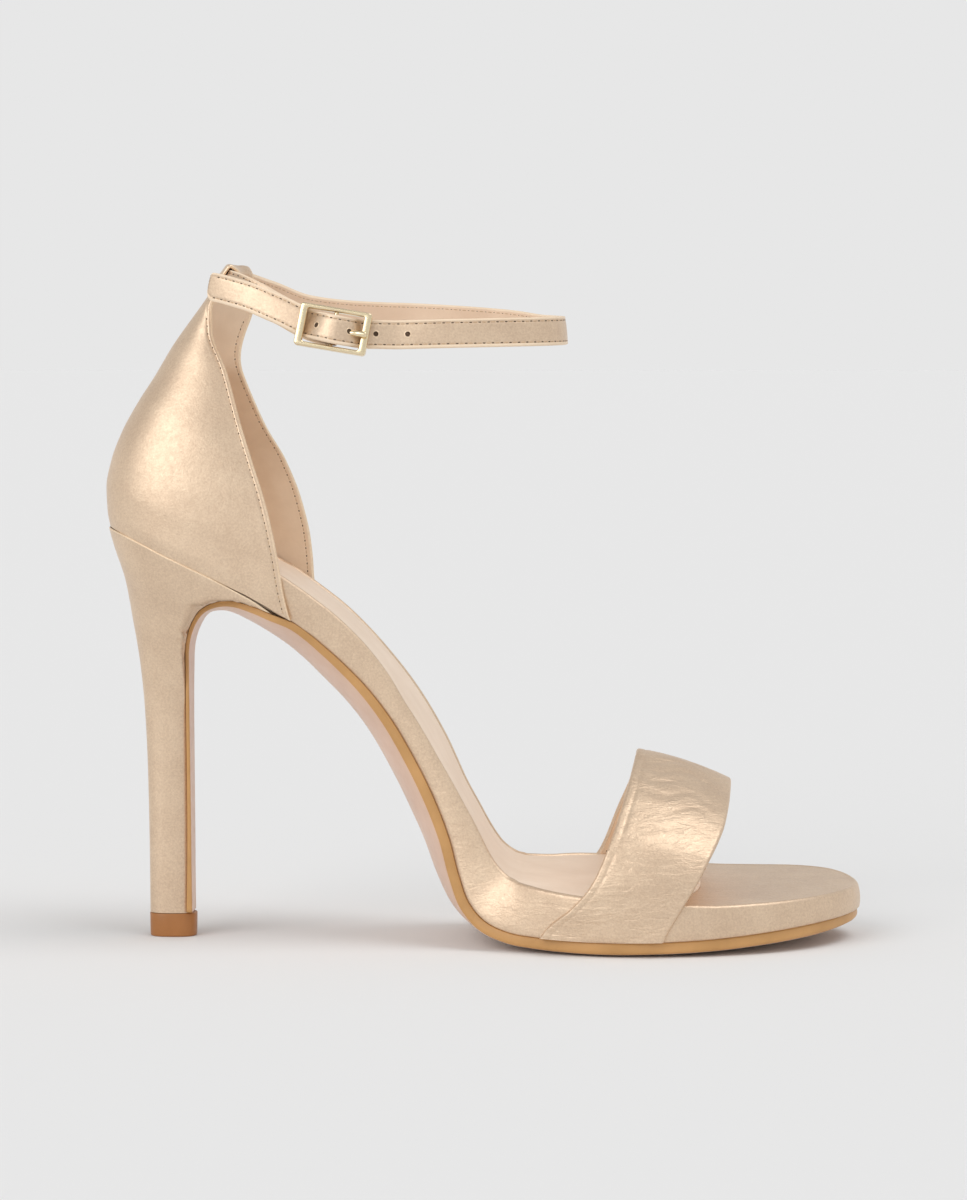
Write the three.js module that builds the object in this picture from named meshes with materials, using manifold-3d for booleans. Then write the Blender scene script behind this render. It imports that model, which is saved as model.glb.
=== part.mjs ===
// Strappy heeled sandal, right foot, in millimetres. +X runs to the toe, -Y to the outer side, +Z up.
// The origin is the middle of the heel's tread, on the floor.
import * as THREE from 'three';
import { mergeVertices } from 'three/addons/utils/BufferGeometryUtils.js';
import Module from 'manifold-3d';

const wasm = await Module();
wasm.setup();

// Last: the form that the whole shoe is built on
const baseLength = 202.9; // along the floor, from the back of the seat to the toe's tip
const heelHeight = 112.4; // floor to the back of the seat
const heelSet = 16.4; // from the back of the seat forward to the middle of the heel's tread
const toeSpring = 4.2;
const ballWidth = 77;
const waistWidth = 44;
const seatWidth = 51;
const instepHeight = 51.3; // floor to the crest of the vamp strap

// Wrapped board under the foot
const ballBoard = 12.3;
const waistBoard = 6;
const seatBoard = 9.5;
const archCrown = 7; // how far the underside bulges in the middle of the waist
const rimWidth = 2.3;
const rimProud = 0.3; // how far the rim stands over the sock liner
const rollHeight = 1;

// Outsole and its flap down the heel's front
const ballSole = 3.2;
const edgeLift = 0.7; // floor to the outsole's lower edge at the ball
const treadBelly = 1.2; // extra thickness in the middle of the forefoot, worn flat on the floor
const waistSole = 2.9;
const breastSole = 1;
const soleInset = 0.9;

// Sock liner
const sockThickness = 0.8;
const sockFront = 39; // from the toe's tip back to the sock's front end
const sockRound = 20; // length of its rounded front

// Heel
const stemWidth = 10.8;
const liftHeight = 6.5;
const lipFront = 31; // how far the heel's lip reaches ahead of the tread's middle

// Upper
const counterHeight = 65; // from the back of the seat up to the top of the wall
const counterWall = 2;
const vampWall = 2.5;
const sleeveWall = 1;
const sleeveStart = 193; // degrees round the loop, where its rear is 180 and its inner side 90
const sleeveEnd = 139;
const vampBulge = 0.9; // how far the vamp strap swells between its edges

// Ankle strap and buckle
const loopLength = 92.2;
const loopWidth = 45;
const loopFullness = 2.6; // 2 is an ellipse, more is squarer
const loopFromBack = 30.7; // from the back of the seat forward to the loop's rear
const strapLift = 51.8; // from the back of the seat up to the strap's middle where it runs lowest
const strapClimb = 14.1;
const strapWidth = 7.7;
const strapThickness = 1.6;
const tailLean = 13; // degrees that the tail's top edge leans in
const holePitch = 8.6;
const prongHole = 4.5; // from the buckle's centre bar ahead to the hole that its prong goes through
const holeWidth = 1.5;
const buckleLength = 19.4;
const buckleHeight = 11.6;
const buckleDepth = 2.2;
const buckleBevel = 0.35;
const buckleAngle = 257.3; // where its centre bar lies round the loop
const buckleEndBar = 2;
const buckleCorner = 1;
const windowCorner = 0.5;
const buckleSideBar = 1.2;
const barWidth = 1.2;
const prongWidth = 1.4;
const prongWall = 0.5; // of its ring round the bar
const eyeWall = 0.7;
const buckleLift = 3; // from the middle of the strap below out to the buckle's back
const buckleRise = 0.4; // how far the buckle's middle lies above the strap's where its bar is

const clearance = 0.3; // between pieces that touch

// Tables of the last, from the toe to the back of the seat. Along is a share of the base length,
// spring of the toe spring and rise of the heel height. Lateral, medial, near and far are shares of
// the zone's width and board, crown of the arch crown, sole of the zone's sole thickness and belly
// of the tread's belly. A column that a row leaves out is none there.
const ballRows = [
  { along: 1.006, spring: 1, lateral: -0.091, medial: 0.091, near: 0.35, far: 0.667, sole: 0.75 },
  { along: 1.0005, spring: 0.98, lateral: 0.02, medial: 0.175, near: 0.382, far: 0.699, sole: 0.78 },
  { along: 0.9925, spring: 0.952, lateral: 0.084, medial: 0.234, near: 0.407, far: 0.724, sole: 0.82 },
  {
    along: 0.97, spring: 0.869, lateral: 0.195, medial: 0.312, near: 0.463, far: 0.78, sole: 0.9,
    belly: 0.2,
  },
  {
    along: 0.9285, spring: 0.702, lateral: 0.318, medial: 0.383, near: 0.545, far: 0.821,
    sole: 1, belly: 0.6,
  },
  {
    along: 0.8743, spring: 0.464, lateral: 0.416, medial: 0.435, near: 0.634, far: 0.854,
    sole: 1, belly: 1,
  },
  {
    along: 0.8103, spring: 0.214, lateral: 0.484, medial: 0.468, near: 0.72, far: 0.919, sole: 1,
    belly: 1,
  },
  {
    along: 0.7462, spring: 0.071, lateral: 0.519, medial: 0.481, near: 0.837, far: 1.04, sole: 1,
    belly: 1,
  },
  { along: 0.6772, lateral: 0.523, medial: 0.474, near: 0.943, far: 1.203, sole: 1, belly: 1 },
  { along: 0.618, spring: 0.036, lateral: 0.49, medial: 0.442, near: 1, far: 1.236, sole: 1, belly: 1 },
  {
    along: 0.5737, spring: 0.143, lateral: 0.445, medial: 0.405, near: 1.049, far: 1.211,
    sole: 1, belly: 0.8,
  },
  {
    along: 0.5392, rise: 0.0129, lateral: 0.408, medial: 0.377, near: 1.098, far: 1.236,
    crown: 0.1, sole: 0.97, belly: 0.3,
  },
  {
    along: 0.5071, rise: 0.0378, lateral: 0.377, medial: 0.353, near: 1.098, far: 1.228,
    crown: 0.3, sole: 0.94,
  },
  {
    along: 0.486, rise: 0.082, lateral: 0.353, medial: 0.333, near: 0.992, far: 1.114,
    crown: 0.5, sole: 0.92,
  },
  {
    along: 0.4731, rise: 0.1484, lateral: 0.338, medial: 0.32, near: 0.797, far: 0.846,
    crown: 0.68, sole: 0.91,
  },
];
const waistRows = [
  {
    along: 0.4603, rise: 0.2406, lateral: 0.564, medial: 0.532, near: 1.25, far: 1.23,
    crown: 0.84, sole: 1,
  },
  { along: 0.4406, rise: 0.3373, lateral: 0.541, medial: 0.51, near: 0.98, far: 1, crown: 0.93, sole: 1 },
  {
    along: 0.4135, rise: 0.4387, lateral: 0.518, medial: 0.493, near: 0.85, far: 1.08,
    crown: 0.94, sole: 0.97,
  },
  {
    along: 0.3839, rise: 0.5318, lateral: 0.505, medial: 0.487, near: 0.83, far: 1.1,
    crown: 0.94, sole: 0.92,
  },
  {
    along: 0.3529, rise: 0.6074, lateral: 0.5, medial: 0.487, near: 1.03, far: 1.13, crown: 0.95,
    sole: 0.86,
  },
  {
    along: 0.3174, rise: 0.6756, lateral: 0.505, medial: 0.496, near: 1.22, far: 1.23,
    crown: 0.96, sole: 0.8,
  },
  {
    along: 0.2829, rise: 0.7309, lateral: 0.512, medial: 0.51, near: 1.32, far: 1.33,
    crown: 0.91, sole: 0.74,
  },
  {
    along: 0.2533, rise: 0.7677, lateral: 0.525, medial: 0.523, near: 1.42, far: 1.42,
    crown: 0.84, sole: 0.69,
  },
];
const seatRows = [
  {
    along: 0.2336, rise: 0.7889, lateral: 0.461, medial: 0.461, near: 0.95, far: 0.95,
    crown: 0.8, sole: 1,
  },
  { along: 0.204, rise: 0.8203, lateral: 0.478, medial: 0.478, near: 1, far: 1, crown: 0.74, sole: 1 },
  { along: 0.1548, rise: 0.8691, lateral: 0.5, medial: 0.5, near: 1, far: 1, crown: 0.66, sole: 1 },
  {
    along: 0.1005, rise: 0.9161, lateral: 0.494, medial: 0.494, near: 0.97, far: 0.97,
    crown: 0.54, sole: 1,
  },
  {
    along: 0.0611, rise: 0.9493, lateral: 0.447, medial: 0.447, near: 0.93, far: 0.93,
    crown: 0.47, sole: 1,
  },
  {
    along: 0.0315, rise: 0.9742, lateral: 0.369, medial: 0.369, near: 0.9, far: 0.9, crown: 0.41,
    sole: 1,
  },
  {
    along: 0.0118, rise: 0.9908, lateral: 0.255, medial: 0.255, near: 0.9, far: 0.9, crown: 0.37,
    sole: 1,
  },
  {
    along: 0.003, rise: 0.9977, lateral: 0.135, medial: 0.135, near: 0.9, far: 0.9, crown: 0.36,
    sole: 1,
  },
  { along: 0, rise: 1, lateral: 0, medial: 0, near: 0.9, far: 0.9, crown: 0.36, sole: 1 },
];

// The outsole leaves the seat here and turns down the heel's front. Flare runs from the stem's
// half width to the seat's. The last row stands on the top lift, whatever its rise.
const breastRows = [
  { along: 0.2287, rise: 0.7866, flare: 0.92, crown: 0.7, sole: 1.9 },
  { along: 0.1991, rise: 0.807, flare: 0.83, crown: 0.56, sole: 1.75 },
  { along: 0.1705, rise: 0.8194, flare: 0.71, crown: 0.42, sole: 1.6 },
  { along: 0.1465, rise: 0.8145, flare: 0.56, crown: 0.24, sole: 1.45 },
  { along: 0.1255, rise: 0.7945, flare: 0.4, crown: 0.1, sole: 1.3 },
  { along: 0.1115, rise: 0.759, flare: 0.26, crown: 0.04, sole: 1.15 },
  { along: 0.1025, rise: 0.706, flare: 0.145, crown: 0, sole: 1.05 },
  { along: 0.101, rise: 0.6276, flare: 0.075, crown: 0, sole: 1 },
  { along: 0.101, rise: 0.5171, flare: 0.035, crown: 0, sole: 1 },
  { along: 0.1015, rise: 0.3788, flare: 0.015, crown: 0, sole: 1 },
  { along: 0.1015, rise: 0.1945, flare: 0, crown: 0, sole: 1.15 },
  { along: 0.1, rise: 0, flare: -0.01, crown: 0, sole: 1.6 },
];

// Sections of the heel, from above the seat down to the top lift. Back and front are shares of the
// base length from the back of the seat, backUp and frontUp shares of the heel height. The last
// section stands on the top lift, whatever its height.
const heelRows = [
  { back: -0.003, backUp: 1.035, front: 0.262, frontUp: 0.815, flare: 1.01, fullness: 2.9 },
  { back: 0.0005, backUp: 0.999, front: 0.26, frontUp: 0.775, flare: 0.985, fullness: 2.9 },
  { back: 0.0072, backUp: 0.9458, front: 0.235, frontUp: 0.712, flare: 0.83, fullness: 2.8 },
  { back: 0.019, backUp: 0.868, front: 0.2, frontUp: 0.676, flare: 0.58, fullness: 2.7 },
  { back: 0.0276, backUp: 0.776, front: 0.14, frontUp: 0.64, flare: 0.31, fullness: 2.6 },
  { back: 0.0366, backUp: 0.672, front: 0.118, frontUp: 0.605, flare: 0.135, fullness: 2.6 },
  { back: 0.0426, backUp: 0.561, front: 0.11, frontUp: 0.534, flare: 0.055, fullness: 2.6 },
  { back: 0.0463, backUp: 0.417, front: 0.11, frontUp: 0.409, flare: 0.02, fullness: 2.6 },
  { back: 0.0483, backUp: 0.223, front: 0.11, frontUp: 0.222, flare: 0, fullness: 2.6 },
  { back: 0.0489, backUp: 0, front: 0.11, frontUp: 0, flare: -0.02, fullness: 2.6 },
];
const archCentre = { along: 0.25, rise: 0.6 }; // a point in the open arch that sees its whole roof

// Sections of the counter, from just under the seat's edge to the top of its back tab. Back and
// edges are shares of the base length from the back of the seat, up a share of the counter height,
// and reach how much further forward the inner side's edge lies. Tab is the inner side's own half
// width, and tabFullness its own fullness, where it opens toward the strap.
const counterRows = [
  { back: 0.004, up: -0.06, edge: 0.262, edgeUp: -0.45, half: 0.462, fullness: 3.3, reach: 0.018 },
  { back: 0, up: 0.005, edge: 0.2475, edgeUp: -0.375, half: 0.485, fullness: 3.3, reach: 0.02 },
  { back: -0.0035, up: 0.07, edge: 0.2379, edgeUp: -0.26, half: 0.5, fullness: 3.2, reach: 0.0217 },
  { back: -0.005, up: 0.167, edge: 0.2313, edgeUp: -0.134, half: 0.5, fullness: 3.1, reach: 0.0251 },
  { back: 0.0015, up: 0.275, edge: 0.223, edgeUp: -0.008, half: 0.49, fullness: 3, reach: 0.0276 },
  { back: 0.0155, up: 0.392, edge: 0.2125, edgeUp: 0.12, half: 0.465, fullness: 2.9, reach: 0.0276 },
  { back: 0.036, up: 0.51, edge: 0.1975, edgeUp: 0.26, half: 0.425, fullness: 2.8, reach: 0.0255 },
  { back: 0.06, up: 0.628, edge: 0.1798, edgeUp: 0.425, half: 0.36, fullness: 2.6, reach: 0.0148 },
  { back: 0.0838, up: 0.754, edge: 0.159, edgeUp: 0.64, half: 0.27, fullness: 2.4, reach: 0.0085 },
  {
    back: 0.1079, up: 0.86, edge: 0.1385, edgeUp: 0.8, half: 0.19, fullness: 2.2, reach: 0.031,
    tab: 0.3, tabFullness: 1.5,
  },
  {
    back: 0.122, up: 0.92, edge: 0.1365, edgeUp: 0.9, half: 0.155, fullness: 2.1, reach: 0.043,
    tab: 0.325, tabFullness: 1.3,
  },
  {
    back: 0.135, up: 0.976, edge: 0.1455, edgeUp: 0.965, half: 0.147, fullness: 2.1,
    reach: 0.043, tab: 0.33, tabFullness: 1.25,
  },
];

// Edges of the vamp strap, from the outer side over the crest to the inner side. Along is a share of
// the base length, across of the ball width and up of the instep height.
const vampRows = [
  { rear: [0.571, -0.456, 0.02], front: [0.729, -0.531, 0.02] },
  { rear: [0.591, -0.48, 0.137], front: [0.742, -0.534, 0.137] },
  { rear: [0.62, -0.51, 0.235], front: [0.7595, -0.529, 0.253] },
  { rear: [0.647, -0.522, 0.359], front: [0.778, -0.511, 0.374] },
  { rear: [0.669, -0.487, 0.54], front: [0.795, -0.468, 0.499] },
  { rear: [0.692, -0.322, 0.789], front: [0.817, -0.325, 0.669] },
  { rear: [0.703, -0.143, 0.926], front: [0.826, -0.117, 0.791] },
  { rear: [0.709, 0.04, 1], front: [0.8285, 0.052, 0.846] },
  { rear: [0.708, 0.185, 0.953], front: [0.826, 0.195, 0.809] },
  { rear: [0.7, 0.302, 0.819], front: [0.817, 0.312, 0.702] },
  { rear: [0.682, 0.392, 0.641], front: [0.797, 0.398, 0.556] },
  { rear: [0.655, 0.48, 0.378], front: [0.774, 0.486, 0.361] },
  { rear: [0.623, 0.458, 0.224], front: [0.757, 0.488, 0.214] },
  { rear: [0.583, 0.425, 0.02], front: [0.737, 0.491, 0.02] },
];

// Height of the ankle strap round its loop, and how far its top edge leans in, by the angle from
// the front. The inner side comes first and the rear is at 180 degrees.
const loopRows = [
  { angle: 0, rise: 0.07, lean: 6 },
  { angle: 34, rise: 0.113, lean: 6 },
  { angle: 51.5, rise: 0.2, lean: 6 },
  { angle: 75.6, rise: 0.298, lean: 7 },
  { angle: 90.3, rise: 0.355, lean: 8 },
  { angle: 102.5, rise: 0.404, lean: 11 },
  { angle: 117, rise: 0.51, lean: 17 },
  { angle: 135, rise: 0.79, lean: 26 },
  { angle: 157, rise: 0.975, lean: 33 },
  { angle: 180, rise: 1, lean: 36 },
  { angle: 203, rise: 0.94, lean: 33 },
  { angle: 219.4, rise: 0.78, lean: 24 },
  { angle: 235.8, rise: 0.47, lean: 17 },
  { angle: 248, rise: 0.166, lean: 12.4 },
  { angle: 252.6, rise: 0.07, lean: 12.2 },
  { angle: 257.3, rise: -0.008, lean: 12 },
  { angle: 262, rise: -0.045, lean: 11.8 },
  { angle: 268.2, rise: -0.03, lean: 11 },
  { angle: 283.4, rise: 0, lean: 8 },
  { angle: 309.6, rise: 0.028, lean: 7 },
  { angle: 360, rise: 0.07, lean: 6 },
];

// Way of the strap through the buckle: run is its distance ahead of the centre bar, as a share of the
// buckle's length, and out how far its middle lies off the loop, as a share of the buckle's lift. The
// strap's other end rises to the bar, and the prong lies along the same way.
const passRows = [
  { run: 0.876, out: 0 }, { run: 0.722, out: 0.15 }, { run: 0.577, out: 0.34 },
  { run: 0.464, out: 0.42 }, { run: 0.402, out: 0.48 }, { run: 0.361, out: 0.72 },
  { run: 0.309, out: 1.17 }, { run: 0.232, out: 1.67 }, { run: 0.155, out: 1.98 },
  { run: 0.077, out: 2.11 }, { run: 0, out: 2.13 }, { run: -0.077, out: 2.07 },
  { run: -0.155, out: 1.85 }, { run: -0.232, out: 1.47 }, { run: -0.309, out: 1 },
  { run: -0.371, out: 0.7 }, { run: -0.454, out: 0.65 },
];
const rootRows = [
  { run: -0.021, out: 0.72 }, { run: -0.103, out: 0.56 }, { run: -0.186, out: 0.25 },
  { run: -0.268, out: 0.06 }, { run: -0.361, out: 0 },
];
// The tail behind the buckle: out is how far it lies off the loop, as a share of the strap's
// thickness, and drop how far it hangs, as a share of its width.
const tailRows = [
  { angle: 243, out: 1.22, drop: 0 }, { angle: 237, out: 1.3, drop: 0.04 },
  { angle: 228, out: 1.5, drop: 0.1 }, { angle: 219, out: 1.85, drop: 0.17 },
  { angle: 211, out: 2.4, drop: 0.22 }, { angle: 205, out: 3.1, drop: 0.25 },
  { angle: 202, out: 3.5, drop: 0.26 },
];
const prongRows = [
  { run: 0.026, out: 1.5 }, { run: 0.155, out: 1.58 }, { run: 0.268, out: 1.76 },
  { run: 0.376, out: 2.02 }, { run: 0.49, out: 2.06 },
];

const seatBack = -heelSet;
const bedHeight = ballSole + edgeLift;
const risePart = heelHeight - bedHeight;

// Plain meshes and their booleans

// Triangles of a closed skin as a solid that faces out, with like points joined and flat ones dropped.
function solidFrom(points, faces) {
  const corner = new THREE.Vector3();
  const volume = faces.reduce(
    (sum, [a, b, c]) => sum + points[a].dot(corner.crossVectors(points[b], points[c])), 0,
  );
  const outward = volume < 0 ? faces.map((face) => [...face].reverse()) : faces;
  const flat = outward.flatMap((face) => face.flatMap((index) => points[index].toArray()));
  const geometry = new THREE.BufferGeometry();
  geometry.setAttribute('position', new THREE.Float32BufferAttribute(flat, 3));
  return solidOf(geometry);
}

function solidOf(geometry) {
  geometry.deleteAttribute('normal');
  geometry.deleteAttribute('uv');
  const merged = mergeVertices(geometry, 1e-4);
  const corners = merged.index.array;
  const kept = [];
  for (let i = 0; i < corners.length; i += 3) {
    const [a, b, c] = [corners[i], corners[i + 1], corners[i + 2]];
    if (a !== b && b !== c && c !== a) kept.push(a, b, c);
  }
  return new wasm.Manifold(
    new wasm.Mesh({
      numProp: 3,
      vertProperties: merged.attributes.position.array,
      triVerts: new Uint32Array(kept),
    }),
  );
}

// The largest body of a solid, without the slivers that a cut may leave beside it.
function wholeOf(solid) {
  return solid.decompose().reduce((best, body) => (body.volume() > best.volume() ? body : best));
}

function geometryOf(solid) {
  const mesh = solid.getMesh();
  const geometry = new THREE.BufferGeometry();
  geometry.setAttribute('position', new THREE.Float32BufferAttribute(mesh.vertProperties, 3));
  geometry.setIndex(Array.from(mesh.triVerts));
  geometry.computeVertexNormals();
  return geometry;
}

// Closed rings of the same count joined one after another. A cap is a fan, or strips between the
// ring's first half and its second, with points of its own between them.
function loft(rings, startCap, endCap) {
  const count = rings[0].length;
  const points = rings.flat();
  const faces = [];
  for (let k = 0; k + 1 < rings.length; k += 1) {
    for (let i = 0; i < count; i += 1) {
      const next = (i + 1) % count;
      const low = k * count;
      const high = low + count;
      faces.push([low + i, low + next, high + next], [low + i, high + next, high + i]);
    }
  }
  startCap(points, faces, 0, count, true);
  endCap(points, faces, (rings.length - 1) * count, count, false);
  return solidFrom(points, faces);
}

function fanCap(points, faces, first, count, facesBack) {
  const middle = new THREE.Vector3();
  for (let i = 0; i < count; i += 1) middle.addScaledVector(points[first + i], 1 / count);
  points.push(middle);
  for (let i = 0; i < count; i += 1) {
    const face = [first + i, first + ((i + 1) % count), points.length - 1];
    faces.push(facesBack ? face.reverse() : face);
  }
}

function stripCap(between) {
  return (points, faces, first, count, facesBack) => {
    const half = count / 2;
    const rows = [];
    for (let i = 0; i < half; i += 1) {
      const row = [first + i];
      for (const point of between(i)) row.push(points.push(point) - 1);
      row.push(first + count - 1 - i);
      rows.push(row);
    }
    for (let i = 0; i + 1 < half; i += 1) {
      const [here, there] = [rows[i], rows[i + 1]];
      let [p, q] = [0, 0];
      while (p + 1 < here.length || q + 1 < there.length) {
        const stepHere = (p + 1) / (here.length - 1) <= (q + 1) / (there.length - 1);
        const face = stepHere ? [here[p], there[q], here[p + 1]] : [here[p], there[q], there[q + 1]];
        faces.push(facesBack ? face.reverse() : face);
        if (stepHere) p += 1;
        else q += 1;
      }
    }
  };
}
const plainStrips = stripCap(() => []);

// Value of a smooth curve without overshoot through a column of rows.
function valueAt(stops, values, at) {
  const last = stops.length - 1;
  const clamped = Math.min(Math.max(at, stops[0]), stops[last]);
  let i = 0;
  while (i < last - 1 && clamped > stops[i + 1]) i += 1;
  const slope = (k) => (values[k + 1] - values[k]) / (stops[k + 1] - stops[k]);
  const tangent = (k) => {
    if (k === 0) return slope(0);
    if (k === last) return slope(last - 1);
    const [before, after] = [slope(k - 1), slope(k)];
    return before * after <= 0 ? 0 : (2 * before * after) / (before + after);
  };
  const width = stops[i + 1] - stops[i];
  const t = (clamped - stops[i]) / width;
  const [square, cube] = [t * t, t * t * t];
  return (
    (2 * cube - 3 * square + 1) * values[i] + (cube - 2 * square + t) * width * tangent(i) +
    (3 * square - 2 * cube) * values[i + 1] + (cube - square) * width * tangent(i + 1)
  );
}

// Lines of the last and of the outsole

const alongAt = (share) => seatBack + share * baseLength;
const upAt = (share) => bedHeight + share * risePart;

function zoneRows(rows, width, board, sole) {
  return rows.map(({ spring = 0, rise = 0, crown = 0, belly = 0, ...row }) => ({
    x: alongAt(row.along),
    z: upAt(rise) + spring * toeSpring,
    lateral: row.lateral * width,
    medial: row.medial * width,
    near: row.near * board,
    far: row.far * board,
    crown: crown * archCrown,
    sole: row.sole * sole,
    belly: belly * treadBelly,
    span: width,
  }));
}

function halfAt(flare) {
  return stemWidth / 2 + (flare * (seatWidth - stemWidth)) / 2;
}

const footRows = [
  ...zoneRows(ballRows, ballWidth, ballBoard, ballSole),
  ...zoneRows(waistRows, waistWidth, waistBoard, waistSole),
];
const lastRows = [...footRows, ...zoneRows(seatRows, seatWidth, seatBoard, breastSole)];
const soleRows = [
  ...footRows,
  ...breastRows.map((row, i) => ({
    x: alongAt(row.along),
    z: i + 1 < breastRows.length ? upAt(row.rise) : liftHeight + clearance,
    lateral: halfAt(row.flare),
    medial: halfAt(row.flare),
    near: 0,
    far: 0,
    crown: row.crown * archCrown,
    sole: row.sole * breastSole,
    belly: 0,
    span: stemWidth,
  })),
];

// A profile with its distances: at gives the point, normal the direction toward the foot, worked
// out over a stretch on both sides so that thick layers don't fold in the bend at the ball.
function makeLine(rows, stretchAt) {
  const curve = new THREE.CatmullRomCurve3(
    rows.map((row) => new THREE.Vector3(row.x, 0, row.z)), false, 'centripetal',
  );
  const steps = 12;
  const divisions = (rows.length - 1) * steps;
  const lengths = curve.getLengths(divisions);
  curve.arcLengthDivisions = divisions;
  const stops = rows.map((row, i) => lengths[i * steps]);
  const length = lengths[divisions];
  const at = (s) => {
    const inside = Math.min(Math.max(s, 0), length);
    const point = curve.getPointAt(inside / length);
    if (s !== inside) point.addScaledVector(curve.getTangentAt(inside / length), s - inside);
    return point;
  };
  const normal = (s) => {
    const stretch = stretchAt(s);
    const run = at(s + stretch).sub(at(s - stretch)).normalize();
    return new THREE.Vector3(run.z, 0, -run.x);
  };
  const value = (column, s) => valueAt(stops, rows.map((row) => row[column]), s);
  return { at, normal, value, stops, length };
}

const junction = footRows.length - 1;
const footStretch = 0.069 * baseLength;
const breastStretch = 2.7 * breastSole;
const lastLine = makeLine(lastRows, () => footStretch);
const junctionAt = lastLine.stops[junction];
const soleLine = makeLine(soleRows, (s) => {
  const share = Math.min(Math.max((s - junctionAt + 8) / 16, 0), 1);
  return footStretch + share * (breastStretch - footStretch);
});

// Distances along a line, at its rows and at equal steps between them.
function placesAlong(line, from, to, step) {
  const ends = [from, ...line.stops.filter((stop) => stop > from + 0.2 && stop < to - 0.2), to];
  return ends.flatMap((start, i) => {
    if (i === ends.length - 1) return [start];
    const gap = ends[i + 1] - start;
    const parts = Math.ceil(gap / step);
    return Array.from({ length: parts }, (_, k) => start + (k * gap) / parts);
  });
}

const solePlaces = placesAlong(soleLine, 0, soleLine.length, 11);
const lastPlaces = placesAlong(lastLine, 0, lastLine.length, 11);

// A point over a line: s along it, y across and n toward the foot, on the crowned underside or flat.
function overLine(line, s, y, n, crowned = true) {
  const half = y < 0 ? line.value('lateral', s) : line.value('medial', s);
  const share = crowned ? Math.min(Math.abs(y) / Math.max(half, 1), 1) : 1;
  const level = n - line.value('crown', s) * (1 - share * share);
  return line.at(s).addScaledVector(line.normal(s), level).add(new THREE.Vector3(0, y, 0));
}

// Plan outline between two distances: outer points from toe to heel, then inner points back.
function outlineOf(line, places) {
  const outer = places.map((s) => ({ s, y: -line.value('lateral', s) }));
  const inner = places.map((s) => ({ s, y: line.value('medial', s) }));
  return [...outer, ...inner.reverse()];
}

// The outline drawn in by a distance, which may change along it. Points that coincide stay joined.
function drawnIn(outline, insetAt) {
  const count = outline.length;
  const apart = (a, b) => Math.hypot(a.s - b.s, a.y - b.y) > 0.05;
  return outline.map((point, i) => {
    let [before, after] = [i, i];
    do before = (before + count - 1) % count; while (!apart(outline[before], point));
    do after = (after + 1) % count; while (!apart(outline[after], point));
    const [from, to] = [outline[before], outline[after]];
    const leave = new THREE.Vector2(point.s - from.s, point.y - from.y).normalize();
    const reach = new THREE.Vector2(to.s - point.s, to.y - point.y).normalize();
    const inward = new THREE.Vector2(-(leave.y + reach.y), leave.x + reach.x).normalize();
    const stretch = Math.min(1 / Math.max(inward.dot(new THREE.Vector2(-leave.y, leave.x)), 0.5), 1.5);
    const inset = insetAt(point.s) * stretch;
    return { s: point.s + inward.x * inset, y: point.y + inward.y * inset };
  });
}

// A closed plate over a line: layers from the bottom up, each with its inset and level.
const acrossShares = [-0.66, -0.33, 0, 0.33, 0.66];
function plate(line, layers, outline) {
  const half = outline.length / 2;
  const placed = (layer, s, y) => overLine(line, s, y, layer.level(s, y), !layer.flat);
  const rings = layers.map((layer) =>
    drawnIn(outline, layer.inset).map((point) => placed(layer, point.s, point.y)),
  );
  const cap = (layer) => {
    const drawn = drawnIn(outline, layer.inset);
    return stripCap((i) => {
      if (layer.flat || i === 0 || i === half - 1) return [];
      const [outer, inner] = [drawn[i], drawn[2 * half - 1 - i]];
      return acrossShares.map((share) => {
        const t = (share + 1) / 2;
        return placed(layer, outer.s + t * (inner.s - outer.s), outer.y + t * (inner.y - outer.y));
      });
    });
  };
  return loft(rings, cap(layers[0]), cap(layers[layers.length - 1]));
}

// A block from a face at one level to another level, along a stretch of a line, wider than the shoe.
function levelBlock(line, from, to, face, other) {
  const places = placesAlong(line, from, to, 8);
  const reach = 0.75 * ballWidth;
  const middle = [-4, -3, -2, -1, 0, 1, 2, 3, 4].map((step) => (step * seatWidth) / 8);
  const across = [-reach, ...middle, reach];
  const rings = places.map((s) => [
    ...across.map((y) => overLine(line, s, y, face)),
    ...across.map((y) => overLine(line, s, y, other)).reverse(),
  ]);
  return loft(rings, plainStrips, plainStrips);
}

// Heel and what trims it

function heelSection(row) {
  const back = new THREE.Vector3(alongAt(row.back), 0, row.backUp * heelHeight);
  const front = new THREE.Vector3(alongAt(row.front), 0, row.frontUp * heelHeight);
  const half = halfAt(row.flare);
  const count = 28;
  return Array.from({ length: count }, (_, i) => {
    const turn = (i / count) * 2 * Math.PI;
    const [c, s] = [Math.cos(turn), Math.sin(turn)];
    const round = (v) => Math.sign(v) * Math.abs(v) ** (2 / row.fullness);
    return back.clone().lerp(front, 0.5 - 0.5 * round(c)).add(new THREE.Vector3(0, half * round(s), 0));
  });
}

// Everything under the outsole's inner face, from the arch down the heel's front.
function archBlock() {
  const roof = solePlaces.filter((s) => s > junctionAt - 0.06 * baseLength);
  const places = [...roof, soleLine.length + liftHeight];
  const centre = new THREE.Vector3(alongAt(archCentre.along), 0, upAt(archCentre.rise));
  const sides = [0.07, 0.13, 0.2, 0.28, 0.38, 0.5, 0.75];
  const across = [...sides.map((share) => -share).reverse(), 0, ...sides].map((share) => share * seatWidth);
  const rings = across.map((y) => [
    centre.clone().setY(y),
    ...places.map((s) => overLine(soleLine, s, y, clearance)),
  ]);
  const centreFan = (points, faces, first, count, facesBack) => {
    for (let i = 1; i + 1 < count; i += 1) {
      const face = [first, first + i, first + i + 1];
      faces.push(facesBack ? face.reverse() : face);
    }
  };
  return loft(rings, centreFan, centreFan);
}

const seatSpan = [junctionAt - 0.07 * baseLength, lastLine.length + 0.06 * baseLength];

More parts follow.
